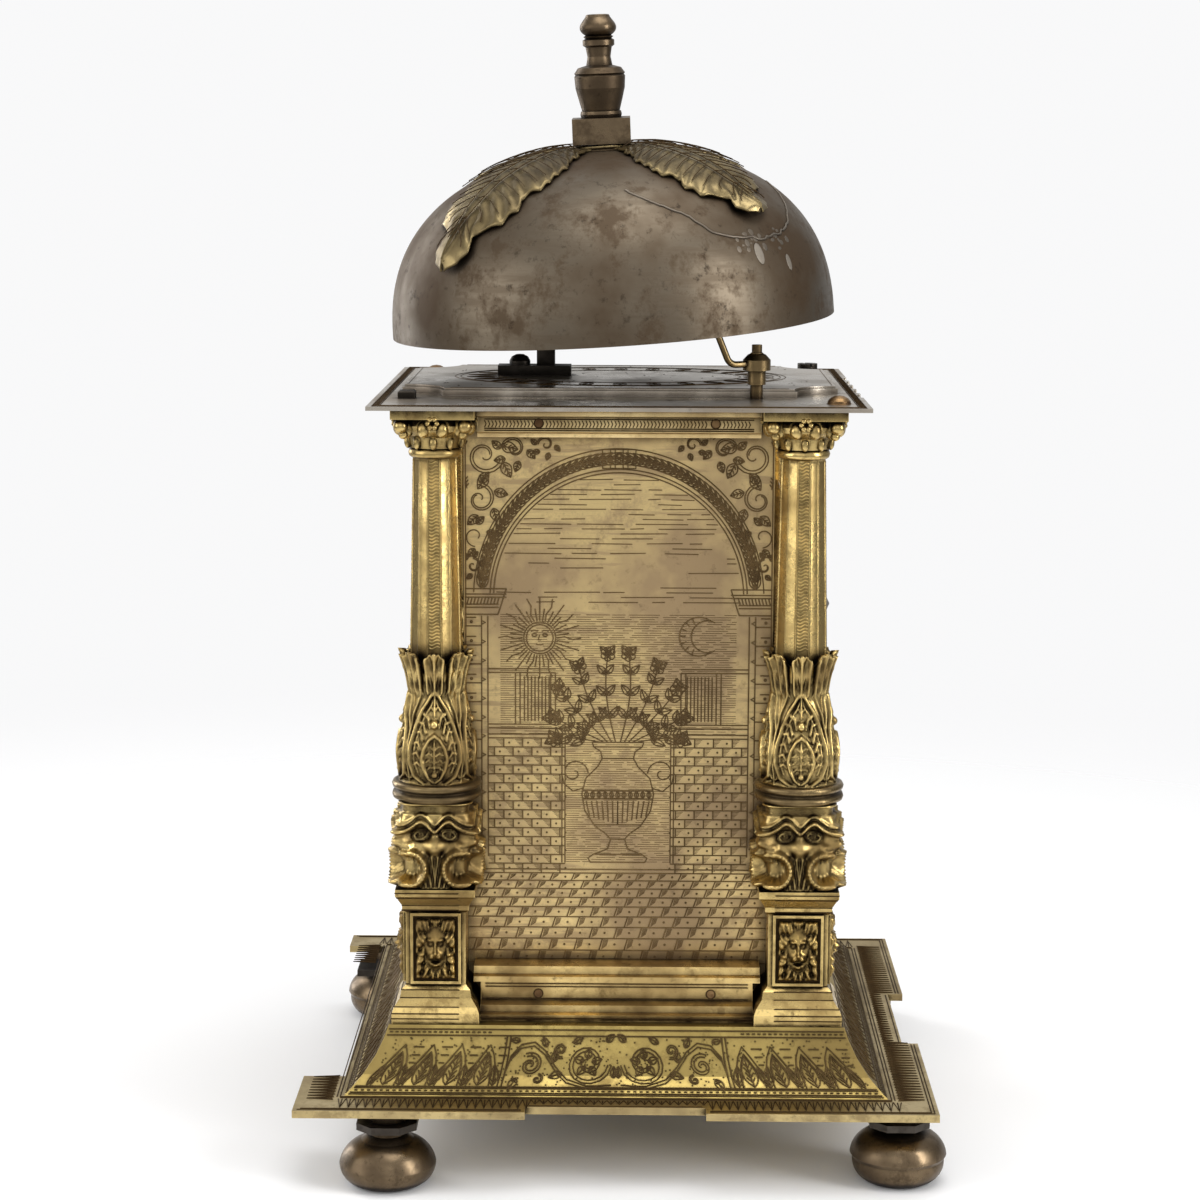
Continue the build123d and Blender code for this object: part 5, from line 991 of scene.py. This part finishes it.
def addMouldingLines():
    lines, frieze, rings = [], [], []
    half, rivets = mouldings["half"], mouldings["rivets"]
    for out in sides.values():
        for depth, height, rows in mouldings["bands"]:
            depth += mouldings["proud"]
            lines += onFace(out, depth, [[(-half, v), (half, v)] for v in rows])
            lines += onFace(out, depth, [circle(u, height, mouldings["rivetRing"]) for u in rivets])
    depth, reach, height = mouldings["step"]
    for out in sides.values():
        lines += onFace(out, depth, [[(-reach, height), (reach, height)]])
    engrave("mouldingLines", lines, mouldings["line"], groove)
    marks = [-half + mouldings["mark"] * k for k in range(mouldings["marks"])]
    marks = [u for u in marks if min(abs(u + 0.2 - place) for place in rivets) > mouldings["clear"]]
    for out in sides.values():
        frieze += onFace(out, mouldings["frieze"], [[(u, 187.5), (u + 0.4, 188.3), (u, 189.2)] for u in marks])
    engrave("friezeLines", frieze, mouldings["friezeLine"], groove)
    edge = pedestal["case"]
    for cx, cy in ((1, 1), (1, -1), (-1, 1), (-1, -1)):
        for z, reach in pedestal["rings"]:
            near, far = max(pedestal["axis"] - reach, edge), pedestal["axis"] + reach
            plan = ((edge, near), (far, near), (far, far), (near, far), (near, edge))
            rings.append([(cx * x, cy * y, z) for x, y in plan])
    engrave("pedestalLines", rings, pedestal["line"], groove)


addMouldingLines()
print("base engraving done")


# Columns: acanthus vases, masks, pedestal reliefs, shaft hatching and capital ornament

# The ring's and the neck's profiles are pairs of added radius and height
column = {"axis": 45.9, "ring": 11.35, "ringTop": 98.0, "vaseHeight": 33.0, "lip": 131.9, "notch": 4.2,
          "inLip": (7.4, 124.5), "shaftFoot": 124.0, "shaftStart": 131.5, "shaftRun": 48, "shaftLow": 6.4,
          "shaftHigh": 5.45, "shaftTop": 180.5, "caseEdge": 39.3, "perDegree": 0.165,
          "ringProfile": ((-0.9, 93.22), (-0.2, 93.6), (0, 94.3), (-0.2, 95.0), (-1.1, 95.3), (-1.15, 95.9),
                          (-0.15, 96.3), (0.05, 97.0), (-0.3, 97.7), (-1.3, 98.0)),
          "neck": ((0.45, 180.0), (1.0, 180.4), (1.25, 181.2), (1.0, 182.0), (0.6, 182.48)),
          "around": 256, "vaseRows": 88, "lipRows": 8, "shaftRows": 40}
# Ribs of half an acanthus leaf: width, height, then degrees from its middle and millimetres over the ring
leafRibs = (
    (0.75, 1.25, ((0, 23.6), (8, 22.4), (22, 19.2), (33, 14.9), (39, 10.4), (40, 6.1), (33, 2.0), (17, 0.2))),
    (0.45, 0.85, ((45, 0), (45, 9), (44, 14), (39, 18.5), (32, 22), (26, 24.5))),
    (0.30, 0.60, ((4, 20.8), (16, 17.8), (26, 14.2), (31.5, 10.4), (33, 6.4), (27, 3.0))),
    (0.62, 1.25, ((0, 12.6), (8, 11.7), (15, 9.6), (19, 6.7), (16, 3.9), (9, 1.6), (2, 0.7))),
    (0.35, 0.75, ((0, 11), (0, 4))),
    (0.30, 0.65, ((0, 8.8), (6, 9.9), (10, 9.7))), (0.30, 0.65, ((0, 7.3), (8, 8.3), (13, 7.8))),
    (0.30, 0.65, ((0, 5.8), (9, 6.4), (13.5, 5.9))), (0.30, 0.65, ((0, 4.6), (7, 4.7), (11, 4.0))),
    (0.50, 0.85, ((19, 11.4), (23, 13.6), (29, 13.4))), (0.50, 0.85, ((21, 9.2), (26, 11.0), (32, 10.6))),
    (0.50, 0.85, ((22, 7.0), (27, 8.4), (33, 7.9))), (0.50, 0.85, ((21, 4.9), (26, 5.9), (32, 5.2))),
    (0.50, 0.85, ((15, 13.2), (19, 15.6), (26, 15.8))), (0.50, 0.85, ((8, 14.6), (12, 17.2), (19, 17.9))),
    (0.45, 0.80, ((0, 17.4), (0, 22.4))), (0.35, 0.7, ((0, 18.6), (7, 19.8), (10, 19.0))),
    (0.45, 0.80, ((36, 3), (40, 1.6), (45, 1.4))), (0.5, 0.9, ((14, 23), (21, 25.2), (27, 24.2), (24, 22.6))),
)
corners = {f"{y}_{x}": (sx * column["axis"], sy * column["axis"]) for y, sy in (("front", -1), ("back", 1))
           for x, sx in (("left", -1), ("right", 1))}


def vaseRadius(t):
    # The vase's radius by height share, as in the CAD
    knots = [(0, 9.3), (0.22, 10.2), (0.50, 8.6), (0.70, 7.0), (1.0, 8.5)]
    for (a, ra), (b, rb) in zip(knots, knots[1:]):
        if t <= b:
            k = (t - a) / (b - a)
            k = k * k * (3 - 2 * k)
            return ra + (rb - ra) * k
    return knots[-1][1]


def clearOfCase(bm, centre):
    # Points that would lie in the case move out to its nearer face, as the solids are cut back there
    sx = 1 if centre[0] > 0 else -1
    sy = 1 if centre[1] > 0 else -1
    edge = column["caseEdge"] * mm
    for v in bm.verts:
        dx, dy = edge - v.co.x * sx, edge - v.co.y * sy
        if dx > 0 and dy > 0:
            if dx < dy:
                v.co.x = sx * edge
            else:
                v.co.y = sy * edge


def rib(angle, z, width, height, points):
    # Rounded height over a rib's line
    near, wide = width, column["perDegree"]
    for (a0, z0), (a1, z1) in zip(points, points[1:]):
        x, y, dx, dz = (angle - a0) * wide, z - z0, (a1 - a0) * wide, z1 - z0
        k = max(0, min(1, (x * dx + y * dz) / (dx * dx + dz * dz)))
        near = min(near, math.hypot(x - k * dx, y - k * dz))
    return height * (1 - (near / width) ** 2)


def leafRelief(angle, z):
    h = max(rib(angle, z, *line[:2], line[2]) for line in leafRibs)
    for za, size, tall in ((15.4, 1.3, 1.7), (2.5, 1.0, 1.4)):
        d = math.hypot(angle * column["perDegree"], z - za)
        h = max(h, tall * math.sqrt(max(0, 1 - (d / size) ** 2)))
    return max(h, 0.9 if z < 0.5 else 0)


def tipRelief(a, t):
    # The crown of eight broad tips: rolled rims, midribs and dark gaps
    s = abs(a)
    h = 0.5 + 0.8 * math.exp(-((s - 0.66) / 0.15) ** 2) + 0.6 * math.exp(-(s / 0.14) ** 2)
    return h + 0.34 * math.sin(34 * t - 6 * s) * (0.15 < s < 0.6) - 1.3 * math.exp(-((s - 1) / 0.12) ** 2)


def shaftRadius(z):
    share = max(0, (z - column["shaftStart"]) / column["shaftRun"])
    return column["shaftLow"] + (column["shaftHigh"] - column["shaftLow"]) * share


def columnRows(col):
    # Radius and height up one line of a column, which repeats every 90 degrees
    bearing = 360 * col / column["around"]
    fold = abs((bearing + 45) % 90 - 45)
    a = ((bearing + 22.5) % 45 - 22.5) / 22.5
    low = column["ringTop"]
    rows = [(column["ring"] + r, z) for r, z in column["ringProfile"]]
    lip = column["lip"] - column["notch"] * abs(a) ** 2.6 - 0.35 * math.sin(9.4 * abs(a)) ** 2
    for t in (i / column["vaseRows"] for i in range(column["vaseRows"] + 1)):
        z = low + (lip - low) * t
        blend = max(0, min(1, (z - low - 21.5) / 3.0))  # leaves below, broad tips above
        blend = blend * blend * (3 - 2 * blend)
        h = leafRelief(fold, z - low) * (1 - blend) + tipRelief(a, t) * blend
        roll = max(0, (t - 0.86) / 0.14) ** 2 * (1 - abs(a) ** 3)
        r = vaseRadius((z - low) / column["vaseHeight"]) - 0.75 + h + 0.9 * roll
        rows.append((max(r, 6.5), z - 0.4 * roll))
    outer, top = rows[-1]
    inner, foot = column["inLip"]
    for t in (i / column["lipRows"] for i in range(1, column["lipRows"] + 1)):
        rows.append((outer - 0.9 - (outer - inner) * t ** 0.6, top + 0.25 - (top - foot) * t ** 1.5))
    facet = 1  # the shaft is round on its bands and flat between them
    if fold > 15:
        flat = math.radians(min(30, max(-30, 45 - fold)))
        facet = 0.5 + 0.5 * math.cos(math.radians(30)) / math.cos(flat)
    edge = 0.28 * math.exp(-((fold - 15) / 1.6) ** 2) + 0.2 * math.exp(-((fold - 45) / 1.6) ** 2)
    for i in range(column["shaftRows"] + 1):
        z = column["shaftFoot"] + (column["shaftTop"] - column["shaftFoot"]) * i / column["shaftRows"]
        rows.append((shaftRadius(z) * facet + edge, z))
    return rows + [(column["shaftHigh"] + r, z) for r, z in column["neck"]]


def addColumns():
    around = column["around"]
    lines = [columnRows(col) for col in range(around // 4)]
    count = len(lines[0])
    for name, centre in corners.items():
        bm = bmesh.new()
        made = bmesh.ops.create_grid(bm, x_segments=around, y_segments=count - 1, size=0.5)["verts"]
        for v in made:
            col, row = round((v.co.x + 0.5) * around) % around, round((v.co.y + 0.5) * (count - 1))
            r, z = lines[col % (around // 4)][row]
            angle = math.radians(360 * col / around)
            v.co = Vector((centre[0] + r * math.cos(angle), centre[1] + r * math.sin(angle), z)) * mm
        bmesh.ops.remove_doubles(bm, verts=bm.verts, dist=1e-7)
        bmesh.ops.holes_fill(bm, edges=[e for e in bm.edges if e.is_boundary], sides=0)
        bmesh.ops.recalc_face_normals(bm, faces=bm.faces)
        clearOfCase(bm, centre)
        skin = addPiece(f"leafColumn_{name}", bm, gilt, replaced=(f"column_{name}",))
        skin.data.materials.append(hammerMetal)
        for polygon in skin.data.polygons:
            if polygon.center.z < 97.9 * mm:
                polygon.material_index = 1


mask = {"low": 71.22, "high": 93.18, "half": 8.5, "corner": 3.2, "columns": 192, "rows": 66}


def roundSquare(t, half, corner):
    # A place on a rounded square, its outward direction and its distance from the nearest corner's middle.
    # t runs from 0 to 4 and is whole at the corners.
    k = round(t)
    hand = 1 if t > k else -1
    s = abs(t - k) * (2 * (half - corner) + math.pi / 2 * corner)
    onArc = min(s, math.pi / 4 * corner)
    bearing = math.radians(45 + 90 * k)
    angle = bearing + hand * onArc / corner
    reach = (half - corner) * math.sqrt(2)
    way = Vector((math.cos(angle), math.sin(angle)))
    place = Vector((reach * math.cos(bearing), reach * math.sin(bearing))) + way * corner
    place += Vector((-way.y, way.x)) * hand * (s - onArc)
    return place, way, s


def maskRelief(s, v):
    # A bearded mask that looks out at a corner. s is the way from the corner and v the height from the middle.
    def spot(cs, cv, ws, wv, height):
        return height * math.exp(-((s - cs) / ws) ** 2 - ((v - cv) / wv) ** 2)

    h = 0.8 + spot(0, 1.5, 1.15, 1.7, 3.2) + spot(0, 4.6, 0.9, 2.0, 1.5) + spot(1.5, 0.5, 0.7, 0.75, 1.4)
    h += spot(7.85, -0.2, 2.4, 2.0, 1.5) - spot(5.6, -2.2, 0.8, 0.9, 0.7)
    browLine = 5.3 + 1.4 * math.cos(0.78 * (s - 4.3))
    h += 2.1 * math.exp(-((v - browLine) / 0.60) ** 2) + 1.1 * math.exp(-((v - browLine - 1.7) / 0.40) ** 2)
    h -= spot(4.3, 3.0, 2.2, 1.35, 3.0)
    lid = math.hypot((s - 4.3) / 1.6, (v - 3.0 - 0.12 * (s - 4.3)) / 1.0)
    h += spot(4.3, 3.0, 0.95, 0.72, 3.1) - spot(4.3, 3.0, 0.36, 0.36, 1.5)
    h += 1.7 * math.exp(-((lid - 1) / 0.17) ** 2)
    r, q = math.hypot(s - 1.5, (v + 5.4) * 0.95), math.atan2(v + 5.4, s - 1.5)
    horn = math.exp(-((r - 3.9) / 0.95) ** 2)
    h += 2.9 * horn * (1 + 0.10 * math.sin(26 * q)) * (1 if s > 0.5 else 0.5) - 3.4 * math.exp(-(r / 2.3) ** 2)
    h += 0.9 * math.exp(-((v + 3.6 + 0.1 * s * s) / 0.45) ** 2) * (s < 2.4) + spot(0, -8.6, 1.4, 0.9, 1.5)
    if v < -2.5:
        h += 0.5 * math.sin(5.0 * s + 0.7 * v) * (1 - horn)
    if v > 8.6:
        h -= 0.9
    return max(-0.6, h) if abs(v) < 10.4 else 0.9


def addMasks():
    # Each block is one relief that runs round its four corners
    bm = bmesh.new()
    middle = (mask["low"] + mask["high"]) / 2
    for centre in corners.values():
        block = bmesh.new()
        across, tall = mask["columns"], mask["rows"]
        for v in bmesh.ops.create_grid(block, x_segments=across, y_segments=tall, size=0.5)["verts"]:
            place, way, s = roundSquare((v.co.x + 0.5) * 4, mask["half"], mask["corner"])
            height = v.co.y * (mask["high"] - mask["low"])
            place += way * maskRelief(s, height)
            v.co = Vector((centre[0] + place.x, centre[1] + place.y, middle + height)) * mm
        bmesh.ops.remove_doubles(block, verts=block.verts, dist=1e-6)
        bmesh.ops.holes_fill(block, edges=[e for e in block.edges if e.is_boundary], sides=0)
        bmesh.ops.recalc_face_normals(block, faces=block.faces)
        clearOfCase(block, centre)
        part = bpy.data.meshes.new("block")
        block.to_mesh(part)
        block.free()
        bm.from_mesh(part)
        bpy.data.meshes.remove(part)
    addPiece("maskHeads", bm, gilt, replaced=("mask_blocks",))


# Pedestals: a sunk dark field in a raised frame, with a lion's head in relief

lionPanel = {"wide": 12.8, "tall": 18.4, "frame": 0.95, "proud": 0.75, "sunk": 0.92, "relief": 2.0,
             "middle": 55.5, "face": 7.55}


def lion(a, b):
    # Height of a maned head over a field of -0.5 to 0.5 each way
    s = abs(a)
    r, q = math.hypot(a, b * 0.72), math.atan2(b * 0.72, s)

    def spot(cs, cb, ws, wb, height):
        return height * math.exp(-((s - cs) / ws) ** 2 - ((b - cb) / wb) ** 2)

    if r < 0.27:
        h = 0.45 + 0.5 * (1 - (r / 0.27) ** 2)
    else:
        h = 0.25 + 0.75 * abs(math.sin(5.5 * q + 9 * r)) ** 0.7 * (1 - 0.8 * (r - 0.27))
        h += 0.14 * math.sin(26 * q - 20 * r)
    h += spot(0.12, 0.155, 0.085, 0.03, 0.55) - spot(0.12, 0.085, 0.06, 0.035, 0.75)
    h += spot(0.12, 0.083, 0.028, 0.018, 0.55)
    h += spot(0, 0.05, 0.035, 0.12, 0.5) + spot(0, -0.05, 0.065, 0.035, 0.6)
    h += spot(0.09, -0.11, 0.065, 0.05, 0.6)
    h -= spot(0, -0.185, 0.11, 0.028, 0.9)
    h += spot(0, -0.245, 0.07, 0.035, 0.5)
    edge = max(0.0, max(s * 1.02, abs(b)) - 0.44) / 0.06
    return h - 1.2 * edge ** 2


def addPedestalReliefs():
    frameBm, headBm = bmesh.new(), bmesh.new()
    wide, tall, rim = lionPanel["wide"], lionPanel["tall"], lionPanel["frame"]
    up = Vector((0, 0, 1))
    for centre in corners.values():
        for out in sides.values():
            if out.x * centre[0] + out.y * centre[1] < 0:
                continue
            right = along(out)
            middle = Vector((*centre, lionPanel["middle"])) + out * (lionPanel["face"] + 0.03)
            done = set(frameBm.verts)
            plate = bmesh.ops.create_cube(frameBm, size=1)["verts"]
            face = next(f for f in frameBm.faces if all(v in plate and v.co.z > 0 for v in f.verts))
            for v in plate:
                v.co.x, v.co.y = v.co.x * wide, v.co.y * tall
            frameBm.normal_update()
            for rimWidth in (rim, 0.15):
                bmesh.ops.inset_region(frameBm, faces=[face], thickness=rimWidth, depth=0)
            for v in face.verts:
                v.co.z -= lionPanel["sunk"]
            face.material_index = 1
            for v in [v for v in frameBm.verts if v not in done]:
                depth = lionPanel["proud"] * (v.co.z + 0.5)
                v.co = (middle + right * v.co.x + up * v.co.y + out * depth) * mm
            field = (wide - 2.2 * rim, tall - 2.2 * rim)
            for v in bmesh.ops.create_grid(headBm, x_segments=46, y_segments=64, size=0.5)["verts"]:
                height = lionPanel["relief"] * lion(v.co.x, v.co.y)
                v.co = (middle + right * v.co.x * field[0] + up * v.co.y * field[1] + out * height) * mm
    bmesh.ops.recalc_face_normals(frameBm, faces=frameBm.faces)
    addPiece("pedestalFrames", frameBm, gilt, smooth=False).data.materials.append(groove)
    addPiece("pedestalLions", headBm, lionMetal)


waves = {"low": 132.6, "high": 179.2, "step": 0.86, "height": 0.30, "reach": (-12, -8, -4, 0, 4, 8, 12),
         "line": 0.46}


def onShaft(centre, angle, z):
    return (*onCircle(*centre, shaftRadius(z) + 0.02, angle), z)


def addShafts():
    # Close waves up the four round bands of each shaft
    for name, centre in corners.items():
        lines = []
        for middle in (0, 90, 180, 270):
            z = waves["low"]
            while z < waves["high"]:
                lines.append([onShaft(centre, middle + b, z + waves["height"] * math.sin(math.radians(b * 15)))
                              for b in waves["reach"]])
                z += waves["step"]
        engrave(f"waves_{name}", lines, waves["line"], gilt)


# Each row of beads: bearings, distance from the axis, height, radius, stretch and segments
capital = {"lobes": (range(15, 375, 30), 8.9, 187.6, 1.9, (0.9, 0.9, 1.15), (10, 8)),
           "scroll": (11.2, 188.4, 1.9), "scrollEnd": (10.4, 186.2, 1.2),
           "rosette": (10.1, 189.2, 0.75, 1.15),
           "collar": (range(0, 360, 36), 6.9, 184.2, 1.3, (0.8, 0.8, 1.5), (10, 8))}


def addBead(bm, place, radius, stretch=(1, 1, 1), segments=(12, 8)):
    around, high = segments
    made = bmesh.ops.create_uvsphere(bm, u_segments=around, v_segments=high, radius=radius * mm)["verts"]
    bmesh.ops.scale(bm, vec=stretch, verts=made)
    bmesh.ops.translate(bm, vec=Vector(place) * mm, verts=made)


def addBeadRow(bm, centre, bearings, reach, z, radius, stretch, segments):
    for a in bearings:
        addBead(bm, (*onCircle(*centre, reach, a), z), radius, stretch, segments)


def addCapitals():
    # Corner scrolls, a row of lobes and a rosette on each side
    bm = bmesh.new()
    for centre in corners.values():
        addBeadRow(bm, centre, *capital["lobes"])
        for b in (0, 90, 180, 270):
            for reach, z, radius in (capital["scroll"], capital["scrollEnd"]):
                addBead(bm, (*onCircle(*centre, reach, b + 45), z), radius)
            reach, z, radius, spread = capital["rosette"]
            middle = Vector((*onCircle(*centre, reach, b), z))
            across = Vector((-math.sin(math.radians(b)), math.cos(math.radians(b)), 0))
            for q in range(0, 360, 60):
                u, v = onCircle(0, 0, spread, q)
                addBead(bm, middle + across * u + Vector((0, 0, v)), radius, segments=(8, 6))
        addBeadRow(bm, centre, *capital["collar"])
    edge = column["caseEdge"] * mm
    doomed = [v for v in bm.verts if abs(v.co.x) < edge and abs(v.co.y) < edge]
    bmesh.ops.delete(bm, geom=doomed, context="VERTS")
    addPiece("capitalOrnament", bm, gilt)


addColumns()
addMasks()
addPedestalReliefs()
addShafts()
addCapitals()
print("columns done")


# Bell: acanthus straps and the solder repair

bell = {"centre": (0, 1.9, 210.4), "lean": 3.8, "tip": 2.1, "radius": 58.0, "height": 45.3, "round": 2.35}
bellAxis = Vector((-math.sin(math.radians(bell["tip"])), math.sin(math.radians(bell["lean"])), 1)).normalized()
bellAcross = Vector((0, 1, 0)).cross(bellAxis).normalized()
bellUp = bellAxis.cross(bellAcross)


def onBell(x, y, lift):
    # A point over the bell from its plan in the rim's plane, lifted from the metal
    big, tall = bell["radius"] + lift, bell["height"] + lift
    share = min(0.9995, math.hypot(x, y) / big)
    h = tall * (1 - share ** bell["round"]) ** (1 / bell["round"])
    return Vector(bell["centre"]) + bellAcross * x + bellUp * y + bellAxis * h


# Bearing and length of each leaf. It is narrow at the washer, then has two broad lobes and a small tip lobe.
straps = {"reaches": {134: 57.4, 229: 52.0, 308: 49.0, 52: 53.0}, "halfWidth": 14.6, "thick": 0.7,
          "outline": ((0, 0.22), (0.15, 0.26), (0.28, 0.60), (0.42, 0.90), (0.58, 1.0), (0.66, 0.84),
                      (0.72, 0.93), (0.80, 0.80), (0.875, 0.36), (0.93, 0.42), (0.97, 0.30), (1.0, 0.05)),
          "limit": 57.6,
          "end": 0.06, "veins": 15, "vein": 0.26, "disc": 8.4}


def leafHalfWidth(t):
    for (t0, w0), (t1, w1) in zip(straps["outline"], straps["outline"][1:]):
        if t <= t1:
            k = (t - t0) / (t1 - t0)
            return straps["halfWidth"] * (w0 + (w1 - w0) * k * k * (3 - 2 * k))
    return straps["end"] * straps["halfWidth"]


def leafSwell(a, t):
    # A leaf is full along its middle and its tip curls up from the bell
    return 1.0 * (1 - a * a) * min(1, t * 3) + 1.9 * max(0, (t - 0.78) / 0.22) ** 2


def onLeaf(bearing, far, across, lift):
    # A place over the bell, out from its crown along a bearing and kept inside the rim
    ca, sa = math.cos(math.radians(bearing)), math.sin(math.radians(bearing))
    x, y = far * ca - across * sa, far * sa + across * ca
    r, limit = math.hypot(x, y), straps["limit"]
    if r > limit:
        x, y = x * limit / r, y * limit / r
    return onBell(x, y, lift)


def leafVeins(bearing, reach):
    def at(t, a):
        return onLeaf(bearing, t * reach, a * leafHalfWidth(t), 1.45 + leafSwell(a, t))

    lines = []
    for k in range(straps["veins"]):
        t = 0.20 + 0.05 * k
        for hand in (-1, 1):
            lines.append([at(t + 0.05 * q / 4, hand * (0.15 + 0.7 * q / 4)) for q in range(5)])
        if k % 2:
            lines.append([at(t, -0.13), at(t + 0.012, 0), at(t, 0.13)])
    return lines + [[at(0.14 + 0.04 * q, side) for q in range(21)] for side in (-0.14, 0.14)]


def addBellLeaves():
    bm = bmesh.new()
    veins = []
    for bearing, reach in straps["reaches"].items():
        for v in bmesh.ops.create_grid(bm, x_segments=26, y_segments=130, size=0.5)["verts"]:
            a, t = v.co.x * 2, v.co.y + 0.5
            teeth = 0.07 * abs(math.sin(math.pi * 15 * t)) * (1 - t) ** 0.3 if t > 0.2 else 0
            across = a * leafHalfWidth(t) * (1 - teeth * abs(a) ** 3)
            far = max(0.4, t * reach + 2.4 * abs(a) ** 1.5 * (1 - t) * (t > 0.2))
            midrib = 0.45 * math.exp(-((abs(a) - 0.13) / 0.04) ** 2)
            wave = 0.234 * math.sin(2 * math.pi * (15 * t - 2.2 * abs(a))) * (0.16 < abs(a)) * (0.2 < t < 0.9)
            v.co = onLeaf(bearing, far, across, 0.72 + midrib + wave + leafSwell(a, t)) * mm
        veins += leafVeins(bearing, reach)
    for v in bmesh.ops.create_circle(bm, cap_ends=True, segments=40, radius=straps["disc"])["verts"]:
        v.co = onBell(v.co.x, v.co.y, 0.74) * mm
    leaves = addPiece("bellLeaves", bm, leafMetal, replaced=("bell_leaves",))
    metalWall = leaves.modifiers.new("thickness", "SOLIDIFY")
    metalWall.thickness = straps["thick"] * mm
    metalWall.offset = 1
    engrave("bellLeafVeins", veins, straps["vein"], groove)


# Places are a bearing and a distance from the bell's axis. Spots and blisters add their radius and stretch.
repair = {"seam": ((188, 39), (191, 41), (198, 44.5), (205, 47.5), (211, 51.3), (220, 52.5), (228, 53),
                   (236, 52.6), (243, 51.5), (252, 48.5), (260, 45), (267, 41.5)), "width": 0.6, "wander": 0.18,
          "spots": ((224, 54.6, 1.35, 2.1), (234.5, 55.8, 0.95, 2.2)),
          "blisters": ((217, 240), (51.5, 54.5), (0.3, 0.8), (0.6, 1.5)), "count": 26, "flat": 0.05}


def addSpot(bm, bearing, r, size, tall):
    place = onBell(*onCircle(0, 0, r, bearing), 0.0)
    beyond = onBell(*onCircle(0, 0, r + 0.6, bearing), 0.0)
    down = (beyond - place).normalized()
    across = down.cross(place - Vector(bell["centre"])).normalized()
    turn = Matrix((across, down, across.cross(down))).transposed().to_4x4()
    made = bmesh.ops.create_icosphere(bm, subdivisions=3, radius=size * mm)["verts"]
    for v in made:
        v.co *= 1 + 0.16 * math.sin(900 * v.co.x / size + 500 * v.co.y / size)
    bmesh.ops.scale(bm, vec=(1, tall, repair["flat"]), verts=made)
    bmesh.ops.transform(bm, matrix=Matrix.Translation(place * mm) @ turn, verts=made)


def addRepair():
    # A wavy solder seam, a rough patch and two pale spots on the dial side of the bell
    seam = []
    for (b0, r0), (b1, r1) in zip(repair["seam"], repair["seam"][1:]):
        for t in (i / 6 for i in range(6)):
            r = r0 + (r1 - r0) * t + random.uniform(-repair["wander"], repair["wander"])
            seam.append(onBell(*onCircle(0, 0, r, b0 + (b1 - b0) * t), 0.0))
    engrave("solderSeam", [seam], repair["width"], seamMetal, sides=2)
    rough, spots = bmesh.new(), bmesh.new()
    for spot in repair["spots"]:
        addSpot(spots, *spot)
    for _ in range(repair["count"]):
        addSpot(rough, *[random.uniform(*limits) for limits in repair["blisters"]])
    addPiece("solderRough", rough, seamMetal)
    addPiece("solderSpots", spots, paleScar)


addBellLeaves()
addRepair()
print("bell done")


# Top: engraved ovals and pits on the plates

topPlates = {"plate": 195.83, "middle": 7.5, "ovals": ((30.0, 44.0), (28.6, 42.6), (20.0, 32.0)), "leaves": 26,
             "leafOval": (21, 33), "leaf": (8.0, 3.6), "ends": (-29.6, 44.6), "endHalf": 43,
             "sides": (-18, 33, 54.6), "plateLine": 0.18, "sheet": 193.83, "rims": (60.4, 58.6), "strokes": 28,
             "stroke": 2.1, "sheetLine": 0.28, "pits": 70, "pitHeight": 195.8, "pitSizes": (0.16, 0.4)}


def addTopEngraving():
    flat = []
    for ru, rv in topPlates["ovals"]:
        flat.append(arc(topPlates["middle"], 0, ru, rv, 0, 360, 72))
    ru, rv = topPlates["leafOval"]
    for a in (360 / topPlates["leaves"] * k for k in range(topPlates["leaves"])):
        u, v = onCircle(0, 0, 1, a)
        flat += leafLines(topPlates["middle"] + ru * u, rv * v, *topPlates["leaf"], a, 2)
    flat += [[(u, -topPlates["endHalf"]), (u, topPlates["endHalf"])] for u in topPlates["ends"]]
    start, end, v = topPlates["sides"]
    flat += [[(start, hand * v), (end, hand * v)] for hand in (-1, 1)]
    lines = [[(u, v, topPlates["plate"]) for u, v in line] for line in flat]
    engrave("topPlateEngraving", lines, topPlates["plateLine"], faintGroove)
    lines = []
    sheet = Vector((0, 0, topPlates["sheet"]))
    for out in sides.values():
        lines += [[out * v + along(out) * u + sheet for u in (-v, v)] for v in topPlates["rims"]]
        for k in range(-topPlates["strokes"], topPlates["strokes"] + 1):
            u = topPlates["stroke"] * k
            lines.append([out * 60.2 + along(out) * u + sheet, out * 58.8 + along(out) * (u + 1.0) + sheet])
    engrave("topSheetEngraving", lines, topPlates["sheetLine"], groove)
    bm = bmesh.new()
    for _ in range(topPlates["pits"]):
        place = Vector((random.uniform(-28, 43), random.uniform(-50, 50), topPlates["pitHeight"]))
        radius = random.uniform(*topPlates["pitSizes"])
        made = bmesh.ops.create_icosphere(bm, subdivisions=1, radius=radius * mm)["verts"]
        bmesh.ops.scale(bm, vec=(1, 1, 0.3), verts=made)
        bmesh.ops.translate(bm, vec=place * mm, verts=made)
    addPiece("topPits", bm, groove)


addTopEngraving()
print("top done")
